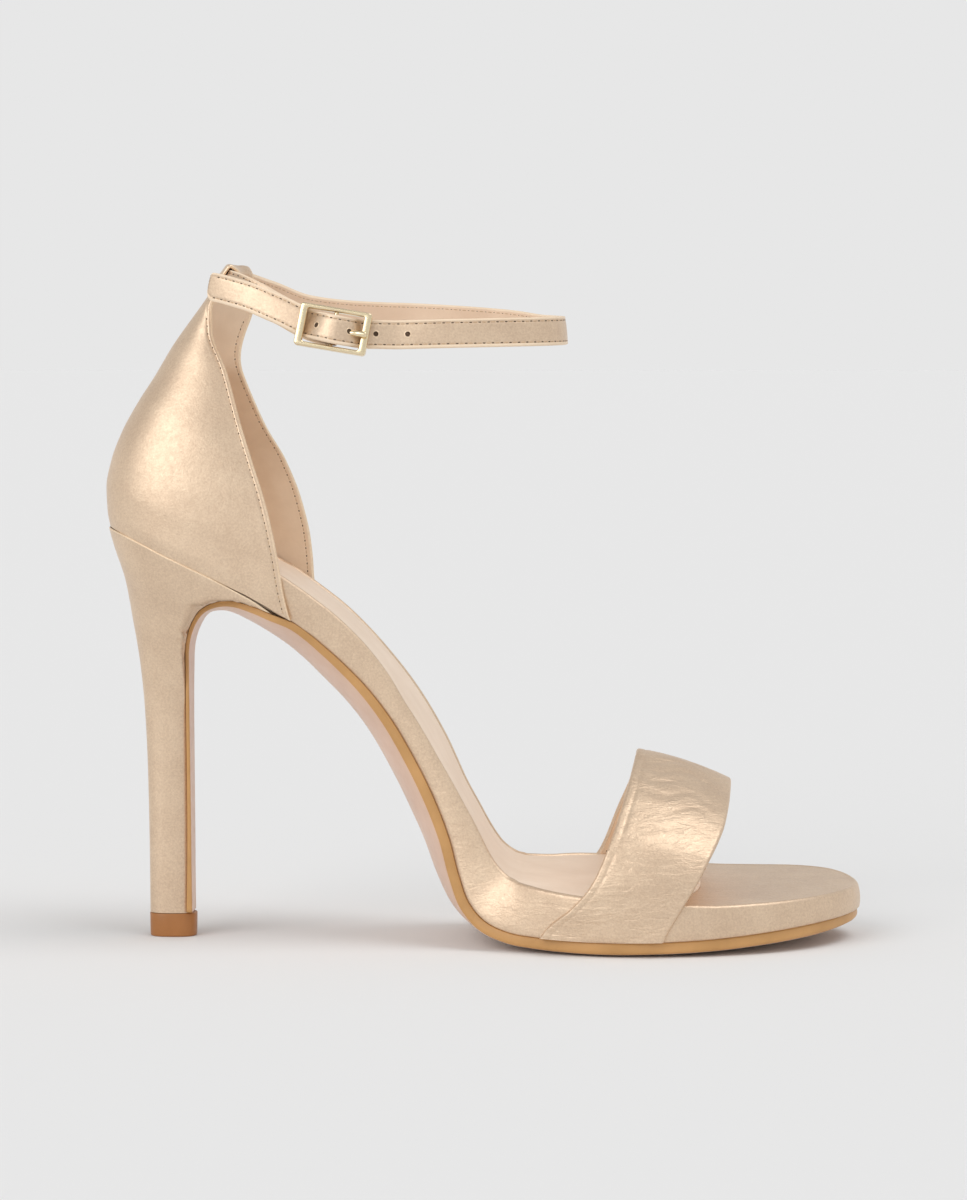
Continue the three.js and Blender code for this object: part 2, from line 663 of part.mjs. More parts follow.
function makeHeel() {
  const foot = (liftHeight + clearance) / heelHeight;
  const rows = heelRows.map((row) => (row.backUp > 0 ? row : { ...row, backUp: foot, frontUp: foot }));
  const raw = loft(rows.map(heelSection).reverse(), fanCap, fanCap);
  const above = levelBlock(lastLine, seatSpan[0], seatSpan[1], -0.4 * clearance, 0.3 * heelHeight);
  const ahead = new THREE.BoxGeometry(heelHeight, 2 * seatWidth, 2 * heelHeight);
  ahead.translate(lipFront + heelHeight / 2, 0, heelHeight);
  const seated = raw.subtract(above).subtract(archBlock());
  return wholeOf(seated.subtract(outsoleForm(clearance)).subtract(solidOf(ahead)));
}

function makeTopLift() {
  const foot = heelRows[heelRows.length - 1];
  const frontShare = foot.front + 0.0015;
  const levels = [0, 0.6, liftHeight];
  const grown = [-0.03, -0.01, 0];
  const rings = levels.map((z, i) =>
    heelSection({ ...foot, front: frontShare, flare: foot.flare + grown[i] }).map((point) => point.setZ(z)),
  );
  return loft(rings, fanCap, fanCap);
}

// Outsole

// The outsole before its tread is made flat, grown all round by a distance.
function outsoleForm(grow) {
  const inset = (s) => soleInset * Math.min(Math.max((junctionAt - s) / 10, 0), 1) - grow;
  const bottom = (s, y) => {
    const half = y < 0 ? soleLine.value('lateral', s) : soleLine.value('medial', s);
    const share = Math.min(Math.abs(y) / Math.max(half, 1), 1);
    return -soleLine.value('sole', s) - soleLine.value('belly', s) * (1 - share * share) - grow;
  };
  const layers = [
    { inset: (s) => inset(s) + 0.3 * soleLine.value('sole', s), level: bottom },
    { inset, level: (s, y) => 0.7 * bottom(s, y) },
    { inset, level: () => grow },
  ];
  return plate(soleLine, layers, outlineOf(soleLine, solePlaces));
}

function makeOutsole() {
  const under = new THREE.BoxGeometry(3 * baseLength, 3 * ballWidth, 20);
  under.translate(baseLength / 2, 0, -10);
  return outsoleForm(0).subtract(solidOf(under));
}

// Counter, with the sleeve at its top that the ankle strap runs through

function counterPoint(row, turn, depth) {
  const inner = turn > 0;
  const edge = inner ? row.edge + row.reach : row.edge;
  const half = (inner ? row.tab ?? row.half : row.half) * seatWidth;
  const fullness = inner ? row.tabFullness ?? row.fullness : row.fullness;
  const c = Math.max(Math.cos(turn), 0) ** (2 / fullness);
  const w = Math.sign(turn) * Math.abs(Math.sin(turn)) ** (2 / fullness);
  return new THREE.Vector3(
    alongAt(edge + (row.back - edge) * c) + depth * c,
    w * (half - depth),
    heelHeight + (row.edgeUp + (row.up - row.edgeUp) * c) * counterHeight,
  );
}

// The wall from its outer face, moved out by one distance, to its inner face, moved in by another.
function counterBody(outward, inward) {
  const turns = Array.from({ length: 25 }, (_, i) => ((i - 12) / 12) * (Math.PI / 2));
  const rings = counterRows.map((row) => {
    const longer = { ...row, edge: row.edge + inward / baseLength };
    return [
      ...turns.map((turn) => counterPoint(longer, turn, -outward)),
      ...turns.map((turn) => counterPoint(longer, turn, counterWall + inward)).reverse(),
    ];
  });
  return loft(rings, plainStrips, plainStrips);
}

// The ankle strap's loop: middle, directions and a point beside it

const loopCentre = seatBack + loopFromBack + loopLength / 2;
const loopStops = loopRows.map((row) => row.angle);
const wrapped = (angle) => ((angle % 360) + 360) % 360;
const loopValue = (column, angle) =>
  valueAt(loopStops, loopRows.map((row) => row[column]), wrapped(angle));

function loopAt(angle) {
  const turn = THREE.MathUtils.degToRad(angle);
  const round = (v) => Math.sign(v) * Math.abs(v) ** (2 / loopFullness);
  return new THREE.Vector3(
    loopCentre + (loopLength / 2) * round(Math.cos(turn)),
    (loopWidth / 2) * round(Math.sin(turn)),
    heelHeight + strapLift + loopValue('rise', angle) * strapClimb,
  );
}

// Along runs with the strap, from its root at the buckle back round the heel; up leans in.
function loopFrame(angle, lean = loopValue('lean', angle), reach = 2) {
  const along = loopAt(angle - reach).sub(loopAt(angle + reach)).normalize();
  const flat = new THREE.Vector3(-along.y, along.x, 0).normalize();
  const tilt = THREE.MathUtils.degToRad(lean);
  const up = new THREE.Vector3(0, 0, Math.cos(tilt)).addScaledVector(flat, -Math.sin(tilt));
  up.addScaledVector(along, -up.dot(along)).normalize();
  const out = new THREE.Vector3().crossVectors(up, along).normalize();
  return { middle: loopAt(angle), along, up, out };
}

// Angle of the point a distance ahead of the buckle's centre bar, measured along the loop.
function angleAtRun(run) {
  const step = 0.25 * Math.sign(run);
  let angle = buckleAngle;
  let left = Math.abs(run);
  while (left > 0) {
    const stride = loopAt(angle).distanceTo(loopAt(angle + step));
    if (stride > left) return angle + (step * left) / stride;
    left -= stride;
    angle += step;
  }
  return angle;
}

// A band with cut corners swept through places that each have a frame, a way out and a drop.
function sweepBand(places, halfHeight, halfDepth) {
  const cut = Math.min(0.35 * halfDepth, 0.3);
  const corners = [
    [-halfHeight, -halfDepth + cut], [-halfHeight + cut, -halfDepth], [halfHeight - cut, -halfDepth],
    [halfHeight, -halfDepth + cut], [halfHeight, halfDepth - cut], [halfHeight - cut, halfDepth],
    [-halfHeight + cut, halfDepth], [-halfHeight, halfDepth - cut],
  ];
  const middles = places.map(({ frame, out, drop }) =>
    frame.middle.clone().addScaledVector(frame.out, out).addScaledVector(frame.up, -drop),
  );
  const rings = places.map(({ frame }, i) => {
    const ahead = middles[Math.min(i + 1, middles.length - 1)];
    const along = ahead.clone().sub(middles[Math.max(i - 1, 0)]).normalize();
    const up = frame.up.clone().addScaledVector(along, -frame.up.dot(along)).normalize();
    const out = new THREE.Vector3().crossVectors(up, along).normalize();
    return corners.map(([rise, depth]) =>
      middles[i].clone().addScaledVector(up, rise).addScaledVector(out, depth),
    );
  });
  return loft(rings, fanCap, fanCap);
}

function sleeveBand(longer, halfHeight, halfDepth) {
  const [start, end] = [sleeveStart + longer, sleeveEnd - longer];
  const parts = 14;
  const places = Array.from({ length: parts + 1 }, (_, i) => ({
    frame: loopFrame(start + ((end - start) * i) / parts), out: 0, drop: 0,
  }));
  return sweepBand(places, halfHeight, halfDepth);
}

function makeCounter() {
  const under = levelBlock(lastLine, seatSpan[0], seatSpan[1], clearance, -0.3 * heelHeight);
  const halfHeight = strapWidth / 2 + clearance;
  const halfDepth = strapThickness / 2 + clearance;
  const sleeve = sleeveBand(0, halfHeight + sleeveWall, halfDepth + sleeveWall);
  const tunnel = sleeveBand(10, halfHeight, halfDepth);
  const wall = counterBody(0, 0).subtract(under).subtract(outsoleForm(clearance));
  return wall.add(sleeve).subtract(tunnel);
}

// Vamp strap

function vampBody(grow) {
  const stops = vampRows.map((_, i) => i);
  const sizes = [baseLength, ballWidth, instepHeight];
  const edgeAt = (edge, at) => {
    const share = [0, 1, 2].map((axis) => valueAt(stops, vampRows.map((row) => row[edge][axis]), at));
    return new THREE.Vector3(seatBack + share[0] * sizes[0], share[1] * sizes[1], share[2] * sizes[2]);
  };
  const across = [0, 0.25, 0.5, 0.75, 1];
  const surface = (at, u) => edgeAt('rear', at).lerp(edgeAt('front', at), u);
  const normal = (at, u) => {
    const [low, high] = [Math.max(at - 0.2, 0), Math.min(at + 0.2, vampRows.length - 1)];
    const over = surface(high, u).sub(surface(low, u));
    const ahead = surface(at, 1).sub(surface(at, 0));
    return ahead.cross(over).normalize();
  };
  const face = (at, depth) => across.map((u) => {
    const wide = u + ((2 * u - 1) * grow) / edgeAt('front', at).distanceTo(edgeAt('rear', at));
    const swell = 4 * u * (1 - u) * vampBulge;
    return surface(at, wide).addScaledVector(normal(at, u), swell - depth);
  });
  const rings = Array.from({ length: 2 * vampRows.length - 1 }, (_, i) => [
    ...face(i / 2, -grow),
    ...face(i / 2, vampWall + grow).reverse(),
  ]);
  return loft(rings, plainStrips, plainStrips);
}

function makeVamp() {
  const under = levelBlock(lastLine, 0.1 * lastLine.length, 0.43 * lastLine.length, clearance, -heelSet);
  return vampBody(0).subtract(under);
}

// Wrapped board and sock liner

const boardTop = (s, y) => {
  const share = 0.5 + y / lastLine.value('span', s);
  return lastLine.value('near', s) + share * (lastLine.value('far', s) - lastLine.value('near', s));
};

function sockForm(grow, top) {
  const front = [0, 0.02, 0.07, 0.17, 0.33, 0.6].map((share) => sockFront + share * sockRound);
  const places = [...front, ...lastPlaces.filter((s) => s > sockFront + 0.9 * sockRound)];
  const outline = outlineOf(lastLine, places).map(({ s, y }) => {
    const toTip = 1 - Math.min((s - sockFront) / sockRound, 1);
    return { s, y: y * Math.sqrt(1 - toTip * toTip) };
  });
  const inset = () => rimWidth - grow;
  const layers = [
    { inset, level: (s, y) => boardTop(s, y) - rimProud - sockThickness - grow, flat: true },
    { inset, level: (s, y) => boardTop(s, y) + top, flat: true },
  ];
  return plate(lastLine, layers, outline);
}

function makeSock() {
  return sockForm(0, -rimProud).subtract(counterBody(clearance, clearance));
}

function makePlatform() {
  const layers = [
    { inset: () => 0.5 * rollHeight, level: () => clearance },
    { inset: () => 0, level: (s, y) => 0.4 * boardTop(s, y) },
    { inset: () => 0, level: (s, y) => boardTop(s, y) - rollHeight, flat: true },
    { inset: () => 0.35 * rollHeight, level: (s, y) => boardTop(s, y) - 0.25 * rollHeight, flat: true },
    { inset: () => rollHeight, level: boardTop, flat: true },
  ];
  const raw = plate(lastLine, layers, outlineOf(lastLine, lastPlaces));
  return raw
    .subtract(sockForm(clearance, rollHeight))
    .subtract(counterBody(2 * counterWall, clearance))
    .subtract(vampBody(clearance));
}

// Buckle, in its own frame: x ahead along the strap, y up across it and z out

const barOut = buckleLift + barWidth / 2;
const eyeRadius = barWidth / 2 + clearance + eyeWall;

// Points of a rectangle with round corners.
function roundedFrame(width, height, radius) {
  const corners = [[1, 1], [-1, 1], [-1, -1], [1, -1]];
  return corners.flatMap(([x, y], quarter) =>
    [0, 1, 2, 3].map((i) => {
      const turn = (quarter + i / 3) * (Math.PI / 2);
      return new THREE.Vector2(
        x * (width / 2 - radius) + radius * Math.cos(turn),
        y * (height / 2 - radius) + radius * Math.sin(turn),
      );
    }),
  );
}

function makeBuckle() {
  const outline = new THREE.Shape(roundedFrame(buckleLength, buckleHeight, buckleCorner));
  const [width, height] = [buckleLength - 2 * buckleEndBar, buckleHeight - 2 * buckleSideBar];
  outline.holes.push(new THREE.Path(roundedFrame(width, height, windowCorner)));
  const frame = new THREE.ExtrudeGeometry(outline, {
    depth: buckleDepth - 2 * buckleBevel,
    bevelThickness: buckleBevel,
    bevelSize: buckleBevel,
    bevelOffset: -buckleBevel,
    bevelSegments: 1,
  });
  frame.translate(0, buckleRise, buckleLift + buckleBevel);
  const bar = new THREE.CylinderGeometry(barWidth / 2, barWidth / 2, buckleHeight - buckleSideBar, 12);
  bar.translate(0, buckleRise, barOut);
  return solidOf(frame).add(solidOf(bar));
}

function makeProng(grow) {
  const sides = 8;
  const radius = prongWidth / 2 + grow;
  const rings = prongRows.map(({ run, out }) =>
    Array.from({ length: sides }, (_, i) => {
      const turn = (i / sides) * 2 * Math.PI;
      const level = out * buckleLift + radius * Math.sin(turn);
      return new THREE.Vector3(run * buckleLength, radius * Math.cos(turn), level);
    }),
  );
  const rod = loft(rings, fanCap, fanCap);
  const loop = new THREE.Shape();
  loop.absarc(0, 0, barWidth / 2 + clearance + prongWall + grow, 0, 2 * Math.PI);
  const hole = new THREE.Path();
  hole.absarc(0, 0, barWidth / 2 + clearance, 0, 2 * Math.PI);
  if (grow === 0) loop.holes.push(hole);
  const ring = new THREE.ExtrudeGeometry(loop, {
    depth: prongWidth + 2 * grow, bevelEnabled: false, curveSegments: 8,
  });
  ring.translate(0, 0, -prongWidth / 2 - grow).rotateX(Math.PI / 2).translate(0, 0, barOut);
  const bore = new THREE.CylinderGeometry(barWidth / 2 + clearance, barWidth / 2 + clearance, seatWidth, 16);
  bore.translate(0, 0, barOut);
  const whole = solidOf(ring).add(rod);
  return grow === 0 ? whole.subtract(solidOf(bore)) : whole;
}

const buckleReach = (angleAtRun(buckleLength / 2) - angleAtRun(-buckleLength / 2)) / 2;
const buckleFrame = loopFrame(buckleAngle, loopValue('lean', buckleAngle), buckleReach);
const bucklePlace = new THREE.Matrix4()
  .makeBasis(buckleFrame.along.clone().negate(), buckleFrame.up, buckleFrame.out)
  .setPosition(buckleFrame.middle);

// Ankle strap

function makeAnkleStrap() {
  const atRun = ({ run, out }) => ({
    frame: loopFrame(angleAtRun(run * buckleLength)), out: out * buckleLift, drop: 0,
  });
  const rearmost = angleAtRun(rootRows[rootRows.length - 1].run * buckleLength);
  const foremost = angleAtRun(passRows[0].run * buckleLength) - 360;
  const parts = 38;
  const loopPlaces = Array.from({ length: parts - 1 }, (_, i) => ({
    frame: loopFrame(rearmost + ((i + 1) * (foremost - rearmost)) / parts), out: 0, drop: 0,
  }));
  const tailStops = tailRows.map((row) => -row.angle);
  const tailAngles = [243, 238, 233, 228, 223, 219, 215, 211, 208, 205, 202];
  const tailPlaces = tailAngles.map((angle) => ({
    frame: loopFrame(angle, tailLean),
    out: valueAt(tailStops, tailRows.map((row) => row.out), -angle) * strapThickness,
    drop: valueAt(tailStops, tailRows.map((row) => row.drop), -angle) * strapWidth,
  }));
  const places = [...rootRows.map(atRun), ...loopPlaces, ...passRows.map(atRun), ...tailPlaces];
  const band = sweepBand(places, strapWidth / 2, strapThickness / 2);
  const eye = new THREE.CylinderGeometry(eyeRadius, eyeRadius, strapWidth - 2 * clearance, 16);
  const boreRadius = barWidth / 2 + clearance;
  const bore = new THREE.CylinderGeometry(boreRadius, boreRadius, 2 * strapWidth, 12);
  for (const round of [eye, bore]) round.translate(0, 0, barOut).applyMatrix4(bucklePlace);
  const slot = new THREE.BoxGeometry(2.4 * eyeRadius, prongWidth + 2 * clearance, 2.4 * eyeRadius);
  slot.translate(0, 0, barOut).applyMatrix4(bucklePlace);
  const prongWay = makeProng(clearance).transform(bucklePlace.elements);
  const passOut = (run) => valueAt(passRows.map((row) => -row.run), passRows.map((row) => row.out), -run);
  const holes = [-1, 1, 2].map((count) => {
    const run = (prongHole + count * holePitch) / buckleLength;
    const { frame, out } = atRun({ run, out: passOut(run) });
    const punch = new THREE.CylinderGeometry(holeWidth / 2, holeWidth / 2, 2.4 * strapThickness, 8);
    const basis = new THREE.Matrix4().makeBasis(frame.along, frame.out, frame.up);
    basis.setPosition(frame.middle.clone().addScaledVector(frame.out, out));
    return solidOf(punch.applyMatrix4(basis));
  });
  const joined = band.add(solidOf(eye)).subtract(solidOf(bore)).subtract(solidOf(slot));
  return holes.reduce((solid, hole) => solid.subtract(hole), joined.subtract(prongWay));
}

// The shoe

const gold = { color: 0xd9bb98, roughness: 0.42, metalness: 0.55 };
const looks = {
  outsole: { color: 0xc48f5c, roughness: 0.6, metalness: 0 },
  lift: { color: 0xac7037, roughness: 0.5, metalness: 0 },
  sock: { color: 0xf0dac3, roughness: 0.75, metalness: 0 },
  metal: { color: 0xdecda0, roughness: 0.25, metalness: 0.9 },
};

function piece(name, solid, look) {
  const mesh = new THREE.Mesh(geometryOf(solid), new THREE.MeshStandardMaterial(look));
  mesh.name = name;
  return mesh;
}

const buckle = new THREE.Group();
buckle.applyMatrix4(bucklePlace);
buckle.add(piece('buckle_frame', makeBuckle(), looks.metal));
buckle.add(piece('buckle_prong', makeProng(0), looks.metal));

const sandal = new THREE.Group();
sandal.add(piece('outsole', makeOutsole(), looks.outsole));
sandal.add(piece('platform', makePlatform(), gold));
sandal.add(piece('sock_liner', makeSock(), looks.sock));
sandal.add(piece('heel', makeHeel(), gold));
sandal.add(piece('top_lift', makeTopLift(), looks.lift));
sandal.add(piece('heel_counter', makeCounter(), gold));
sandal.add(piece('vamp_strap', makeVamp(), gold));
sandal.add(piece('ankle_strap', makeAnkleStrap(), gold));
sandal.add(buckle);

export default sandal;
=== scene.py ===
# Strappy heeled sandal, right foot. Lengths are in millimetres, as on the last, until finishMesh
# turns them into metres.
import math
import bmesh
import bpy
import numpy as np
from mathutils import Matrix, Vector


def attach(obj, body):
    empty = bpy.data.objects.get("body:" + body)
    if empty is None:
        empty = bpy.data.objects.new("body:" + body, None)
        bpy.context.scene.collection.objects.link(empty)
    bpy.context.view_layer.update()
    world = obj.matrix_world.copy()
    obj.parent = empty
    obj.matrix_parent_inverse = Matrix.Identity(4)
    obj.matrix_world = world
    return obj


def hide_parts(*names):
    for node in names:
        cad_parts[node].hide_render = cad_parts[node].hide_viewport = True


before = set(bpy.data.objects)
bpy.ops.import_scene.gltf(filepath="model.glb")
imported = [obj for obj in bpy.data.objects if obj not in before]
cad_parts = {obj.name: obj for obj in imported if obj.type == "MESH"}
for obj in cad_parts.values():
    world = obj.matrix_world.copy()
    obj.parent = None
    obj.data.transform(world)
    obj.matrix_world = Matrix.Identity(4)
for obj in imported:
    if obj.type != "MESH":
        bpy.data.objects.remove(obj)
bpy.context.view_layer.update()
print("frame loaded, nodes:", len(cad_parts))


# Curves and lines

def smoothStep(low, high, value):
    share = np.clip((np.asarray(value, float) - low) / (high - low), 0, 1)
    return share * share * (3 - 2 * share)


def cubic(t, start, leaving, end, arriving):
    return ((2 * t ** 3 - 3 * t ** 2 + 1) * start + (t ** 3 - 2 * t ** 2 + t) * leaving
            + (3 * t ** 2 - 2 * t ** 3) * end + (t ** 3 - t ** 2) * arriving)


def smoothAt(stops, values, at):
    # a curve through the values that never overshoots them
    stops, values = np.asarray(stops, float), np.asarray(values, float)
    at = np.clip(np.asarray(at, float), stops[0], stops[-1])
    i = np.clip(np.searchsorted(stops, at) - 1, 0, len(stops) - 2)
    slope = np.diff(values) / np.diff(stops)
    product = slope[:-1] * slope[1:]
    total = np.where(product > 0, slope[:-1] + slope[1:], 1)
    tangent = np.concatenate([slope[:1], np.where(product > 0, 2 * product / total, 0), slope[-1:]])
    width = stops[i + 1] - stops[i]
    return cubic((at - stops[i]) / width, values[i], width * tangent[i], values[i + 1], width * tangent[i + 1])


def runThrough(points, steps=16, closed=False):
    # centripetal curve through points, with as many steps between each two
    points = np.asarray(points, float)
    count, dense = len(points), []
    t = (np.arange(steps) / steps)[:, None]
    for i in range(count if closed else count - 1):
        p1, p2 = points[i], points[(i + 1) % count]
        p0 = points[i - 1] if closed or i > 0 else 2 * p1 - p2
        p3 = points[(i + 2) % count] if closed or i + 2 < count else 2 * p2 - p1
        d0, d1, d2 = (max(np.linalg.norm(b - a), 1e-4) ** 0.5 for a, b in ((p0, p1), (p1, p2), (p2, p3)))
        leaving = ((p1 - p0) / d0 - (p2 - p0) / (d0 + d1) + (p2 - p1) / d1) * d1
        arriving = ((p2 - p1) / d1 - (p3 - p1) / (d1 + d2) + (p3 - p2) / d2) * d1
        dense.append(cubic(t, p1, leaving, p2, arriving))
    return np.concatenate(dense if closed else dense + [points[-1:]])


def lengthsOf(points):
    return np.concatenate([[0], np.cumsum(np.linalg.norm(np.diff(points, axis=0), axis=1))])


def alongLine(line, at, lengths):
    return np.stack([np.interp(at, lengths, column) for column in line.T], -1)


def evenly(points, count):
    lengths = lengthsOf(points)
    return alongLine(points, np.linspace(0, lengths[-1], count), lengths)


def unit(vectors):
    return vectors / np.maximum(np.linalg.norm(vectors, axis=-1, keepdims=True), 1e-9)


def squared(turn, fullness):
    # cosine and sine of a rounded square
    c, w = np.cos(turn), np.sin(turn)
    return np.sign(c) * np.abs(c) ** (2 / fullness), np.sign(w) * np.abs(w) ** (2 / fullness)


def turnsOf(count):
    return np.linspace(0, 2 * np.pi, count + 1)[:-1]


def roundedLoop(width, height, radius, count=9):
    points = []
    for cx, cy, start in ((1, 1, 0), (-1, 1, 90), (-1, -1, 180), (1, -1, 270)):
        for turn in np.radians(np.linspace(start, start + 90, count)):
            points.append((cx * (width / 2 - radius) + radius * math.cos(turn),
                           cy * (height / 2 - radius) + radius * math.sin(turn)))
    return np.array(points)


# The last: the form that the shoe is built on

lastForm = {
    "baseLength": 202.9, "heelHeight": 112.4, "heelSet": 16.4, "toeSpring": 4.2,
    "ballWidth": 77.0, "waistWidth": 44.0, "seatWidth": 51.0, "instepHeight": 51.3,
    "ballBoard": 12.3, "waistBoard": 6.0, "seatBoard": 9.5, "archCrown": 7.0,
    "ballSole": 3.2, "edgeLift": 0.7, "treadBelly": 1.2, "waistSole": 2.9, "breastSole": 1.0,
    "stemWidth": 10.8, "liftHeight": 6.5, "lipFront": 31.0, "clearance": 0.3,
    "footStretch": 0.069, "flapStretch": 2.7,  # how far its normals are eased, of the length and the sole
}
ballRows = [  # along, spring, rise, lateral, medial, near, far, crown, sole, belly
    (1.006, 1, 0, -0.091, 0.091, 0.35, 0.667, 0, 0.75, 0),
    (1.0005, 0.98, 0, 0.02, 0.175, 0.382, 0.699, 0, 0.78, 0),
    (0.9925, 0.952, 0, 0.084, 0.234, 0.407, 0.724, 0, 0.82, 0),
    (0.97, 0.869, 0, 0.195, 0.312, 0.463, 0.78, 0, 0.9, 0.2),
    (0.9285, 0.702, 0, 0.318, 0.383, 0.545, 0.821, 0, 1, 0.6),
    (0.8743, 0.464, 0, 0.416, 0.435, 0.634, 0.854, 0, 1, 1),
    (0.8103, 0.214, 0, 0.484, 0.468, 0.72, 0.919, 0, 1, 1),
    (0.7462, 0.071, 0, 0.519, 0.481, 0.837, 1.04, 0, 1, 1),
    (0.6772, 0, 0, 0.523, 0.474, 0.943, 1.203, 0, 1, 1), (0.618, 0.036, 0, 0.49, 0.442, 1, 1.236, 0, 1, 1),
    (0.5737, 0.143, 0, 0.445, 0.405, 1.049, 1.211, 0, 1, 0.8),
    (0.5392, 0, 0.0129, 0.408, 0.377, 1.098, 1.236, 0.1, 0.97, 0.3),
    (0.5071, 0, 0.0378, 0.377, 0.353, 1.098, 1.228, 0.3, 0.94, 0),
    (0.486, 0, 0.082, 0.353, 0.333, 0.992, 1.114, 0.5, 0.92, 0),
    (0.4731, 0, 0.1484, 0.338, 0.32, 0.797, 0.846, 0.68, 0.91, 0),
]
waistRows = [  # along, spring, rise, lateral, medial, near, far, crown, sole, belly
    (0.4603, 0, 0.2406, 0.564, 0.532, 1.25, 1.23, 0.84, 1, 0),
    (0.4406, 0, 0.3373, 0.541, 0.51, 0.98, 1, 0.93, 1, 0),
    (0.4135, 0, 0.4387, 0.518, 0.493, 0.85, 1.08, 0.94, 0.97, 0),
    (0.3839, 0, 0.5318, 0.505, 0.487, 0.83, 1.1, 0.94, 0.92, 0),
    (0.3529, 0, 0.6074, 0.5, 0.487, 1.03, 1.13, 0.95, 0.86, 0),
    (0.3174, 0, 0.6756, 0.505, 0.496, 1.22, 1.23, 0.96, 0.8, 0),
    (0.2829, 0, 0.7309, 0.512, 0.51, 1.32, 1.33, 0.91, 0.74, 0),
    (0.2533, 0, 0.7677, 0.525, 0.523, 1.42, 1.42, 0.84, 0.69, 0),
]
seatRows = [  # along, spring, rise, lateral, medial, near, far, crown, sole, belly
    (0.2336, 0, 0.7889, 0.461, 0.461, 0.95, 0.95, 0.8, 1, 0),
    (0.204, 0, 0.8203, 0.478, 0.478, 1, 1, 0.74, 1, 0), (0.1548, 0, 0.8691, 0.5, 0.5, 1, 1, 0.66, 1, 0),
    (0.1005, 0, 0.9161, 0.494, 0.494, 0.97, 0.97, 0.54, 1, 0),
    (0.0611, 0, 0.9493, 0.447, 0.447, 0.93, 0.93, 0.47, 1, 0),
    (0.0315, 0, 0.9742, 0.369, 0.369, 0.9, 0.9, 0.41, 1, 0),
    (0.0118, 0, 0.9908, 0.255, 0.255, 0.9, 0.9, 0.37, 1, 0),
    (0.003, 0, 0.9977, 0.135, 0.135, 0.9, 0.9, 0.36, 1, 0), (0, 0, 1, 0, 0, 0.9, 0.9, 0.36, 1, 0),
]
breastRows = [  # along, rise, flare, crown, sole
    (0.2287, 0.7866, 0.92, 0.7, 1.9), (0.1991, 0.807, 0.83, 0.56, 1.75), (0.1705, 0.8194, 0.71, 0.42, 1.6),
    (0.1465, 0.8145, 0.56, 0.24, 1.45), (0.1255, 0.7945, 0.4, 0.1, 1.3), (0.1115, 0.759, 0.26, 0.04, 1.15),
    (0.1025, 0.706, 0.145, 0, 1.05), (0.101, 0.6276, 0.075, 0, 1), (0.101, 0.5171, 0.035, 0, 1),
    (0.1015, 0.3788, 0.015, 0, 1), (0.1015, 0.1945, 0, 0, 1.15), (0.1, 0, -0.01, 0, 1.6),
]
seatBack = -lastForm["heelSet"]
bedHeight = lastForm["ballSole"] + lastForm["edgeLift"]
gap = lastForm["clearance"]


def alongAt(share):
    return seatBack + share * lastForm["baseLength"]


def upAt(share):
    return bedHeight + share * (lastForm["heelHeight"] - bedHeight)


def halfAt(flare):
    return lastForm["stemWidth"] / 2 + flare * (lastForm["seatWidth"] - lastForm["stemWidth"]) / 2


def zoneRows(rows, zone, soleZone=None):
    form = lastForm
    width, board, sole = form[zone + "Width"], form[zone + "Board"], form[(soleZone or zone) + "Sole"]
    return [(alongAt(r[0]), upAt(r[2]) + r[1] * form["toeSpring"], r[3] * width, r[4] * width, r[5] * board,
             r[6] * board, r[7] * form["archCrown"], r[8] * sole, r[9] * form["treadBelly"], width) for r in rows]


class ShoeLine:
    # a side profile with the widths and levels that go with each distance along it
    columns = ("x", "z", "lateral", "medial", "near", "far", "crown", "sole", "belly", "span")

    def __init__(self, rows, stretchAt):
        self.rows = {name: np.array(column, float) for name, column in zip(self.columns, zip(*rows))}
        self.dense = runThrough(np.column_stack([self.rows["x"], self.rows["z"]]))
        self.lengths = lengthsOf(self.dense)
        self.stops, self.length = self.lengths[::16], self.lengths[-1]
        self.stretchAt = stretchAt

    def at(self, s):
        s = np.asarray(s, float)
        inside = np.clip(s, 0, self.length)
        first, last = unit(self.dense[1] - self.dense[0]), unit(self.dense[-1] - self.dense[-2])
        ahead = np.where((s > inside)[..., None], last, first) * (s - inside)[..., None]
        return alongLine(self.dense, inside, self.lengths) + ahead

    def normal(self, s):
        reach = self.stretchAt(np.asarray(s, float))
        run = unit(self.at(s + reach) - self.at(s - reach))
        return np.stack([run[..., 1], -run[..., 0]], -1)

    def value(self, column, s):
        return smoothAt(self.stops, self.rows[column], s)

    def half(self, s, y):
        return np.where(y < 0, self.value("lateral", s), self.value("medial", s))

    def sunk(self, s, y):
        # how far the crowned face lies under the edge
        share = np.minimum(np.abs(y) / np.maximum(self.half(s, y), 1), 1)
        return self.value("crown", s) * (1 - share * share)

    def over(self, s, y, n, crowned=True):
        s, y, n = np.broadcast_arrays(np.asarray(s, float), y, n)
        level = n - self.sunk(s, y) if crowned else n
        flat = self.at(s) + self.normal(s) * level[..., None]
        return np.stack([flat[..., 0], y, flat[..., 1]], -1)

    def levelOf(self, points, low, high):
        # how far points lie over the crowned face
        s = np.linspace(low, high, 700)
        base = self.at(s)
        away = (points[:, None, 0] - base[None, :, 0]) ** 2 + (points[:, None, 2] - base[None, :, 1]) ** 2
        near = s[np.argmin(away, axis=1)]
        offset = points[:, [0, 2]] - self.at(near)
        return (offset * self.normal(near)).sum(1) + self.sunk(near, points[:, 1])


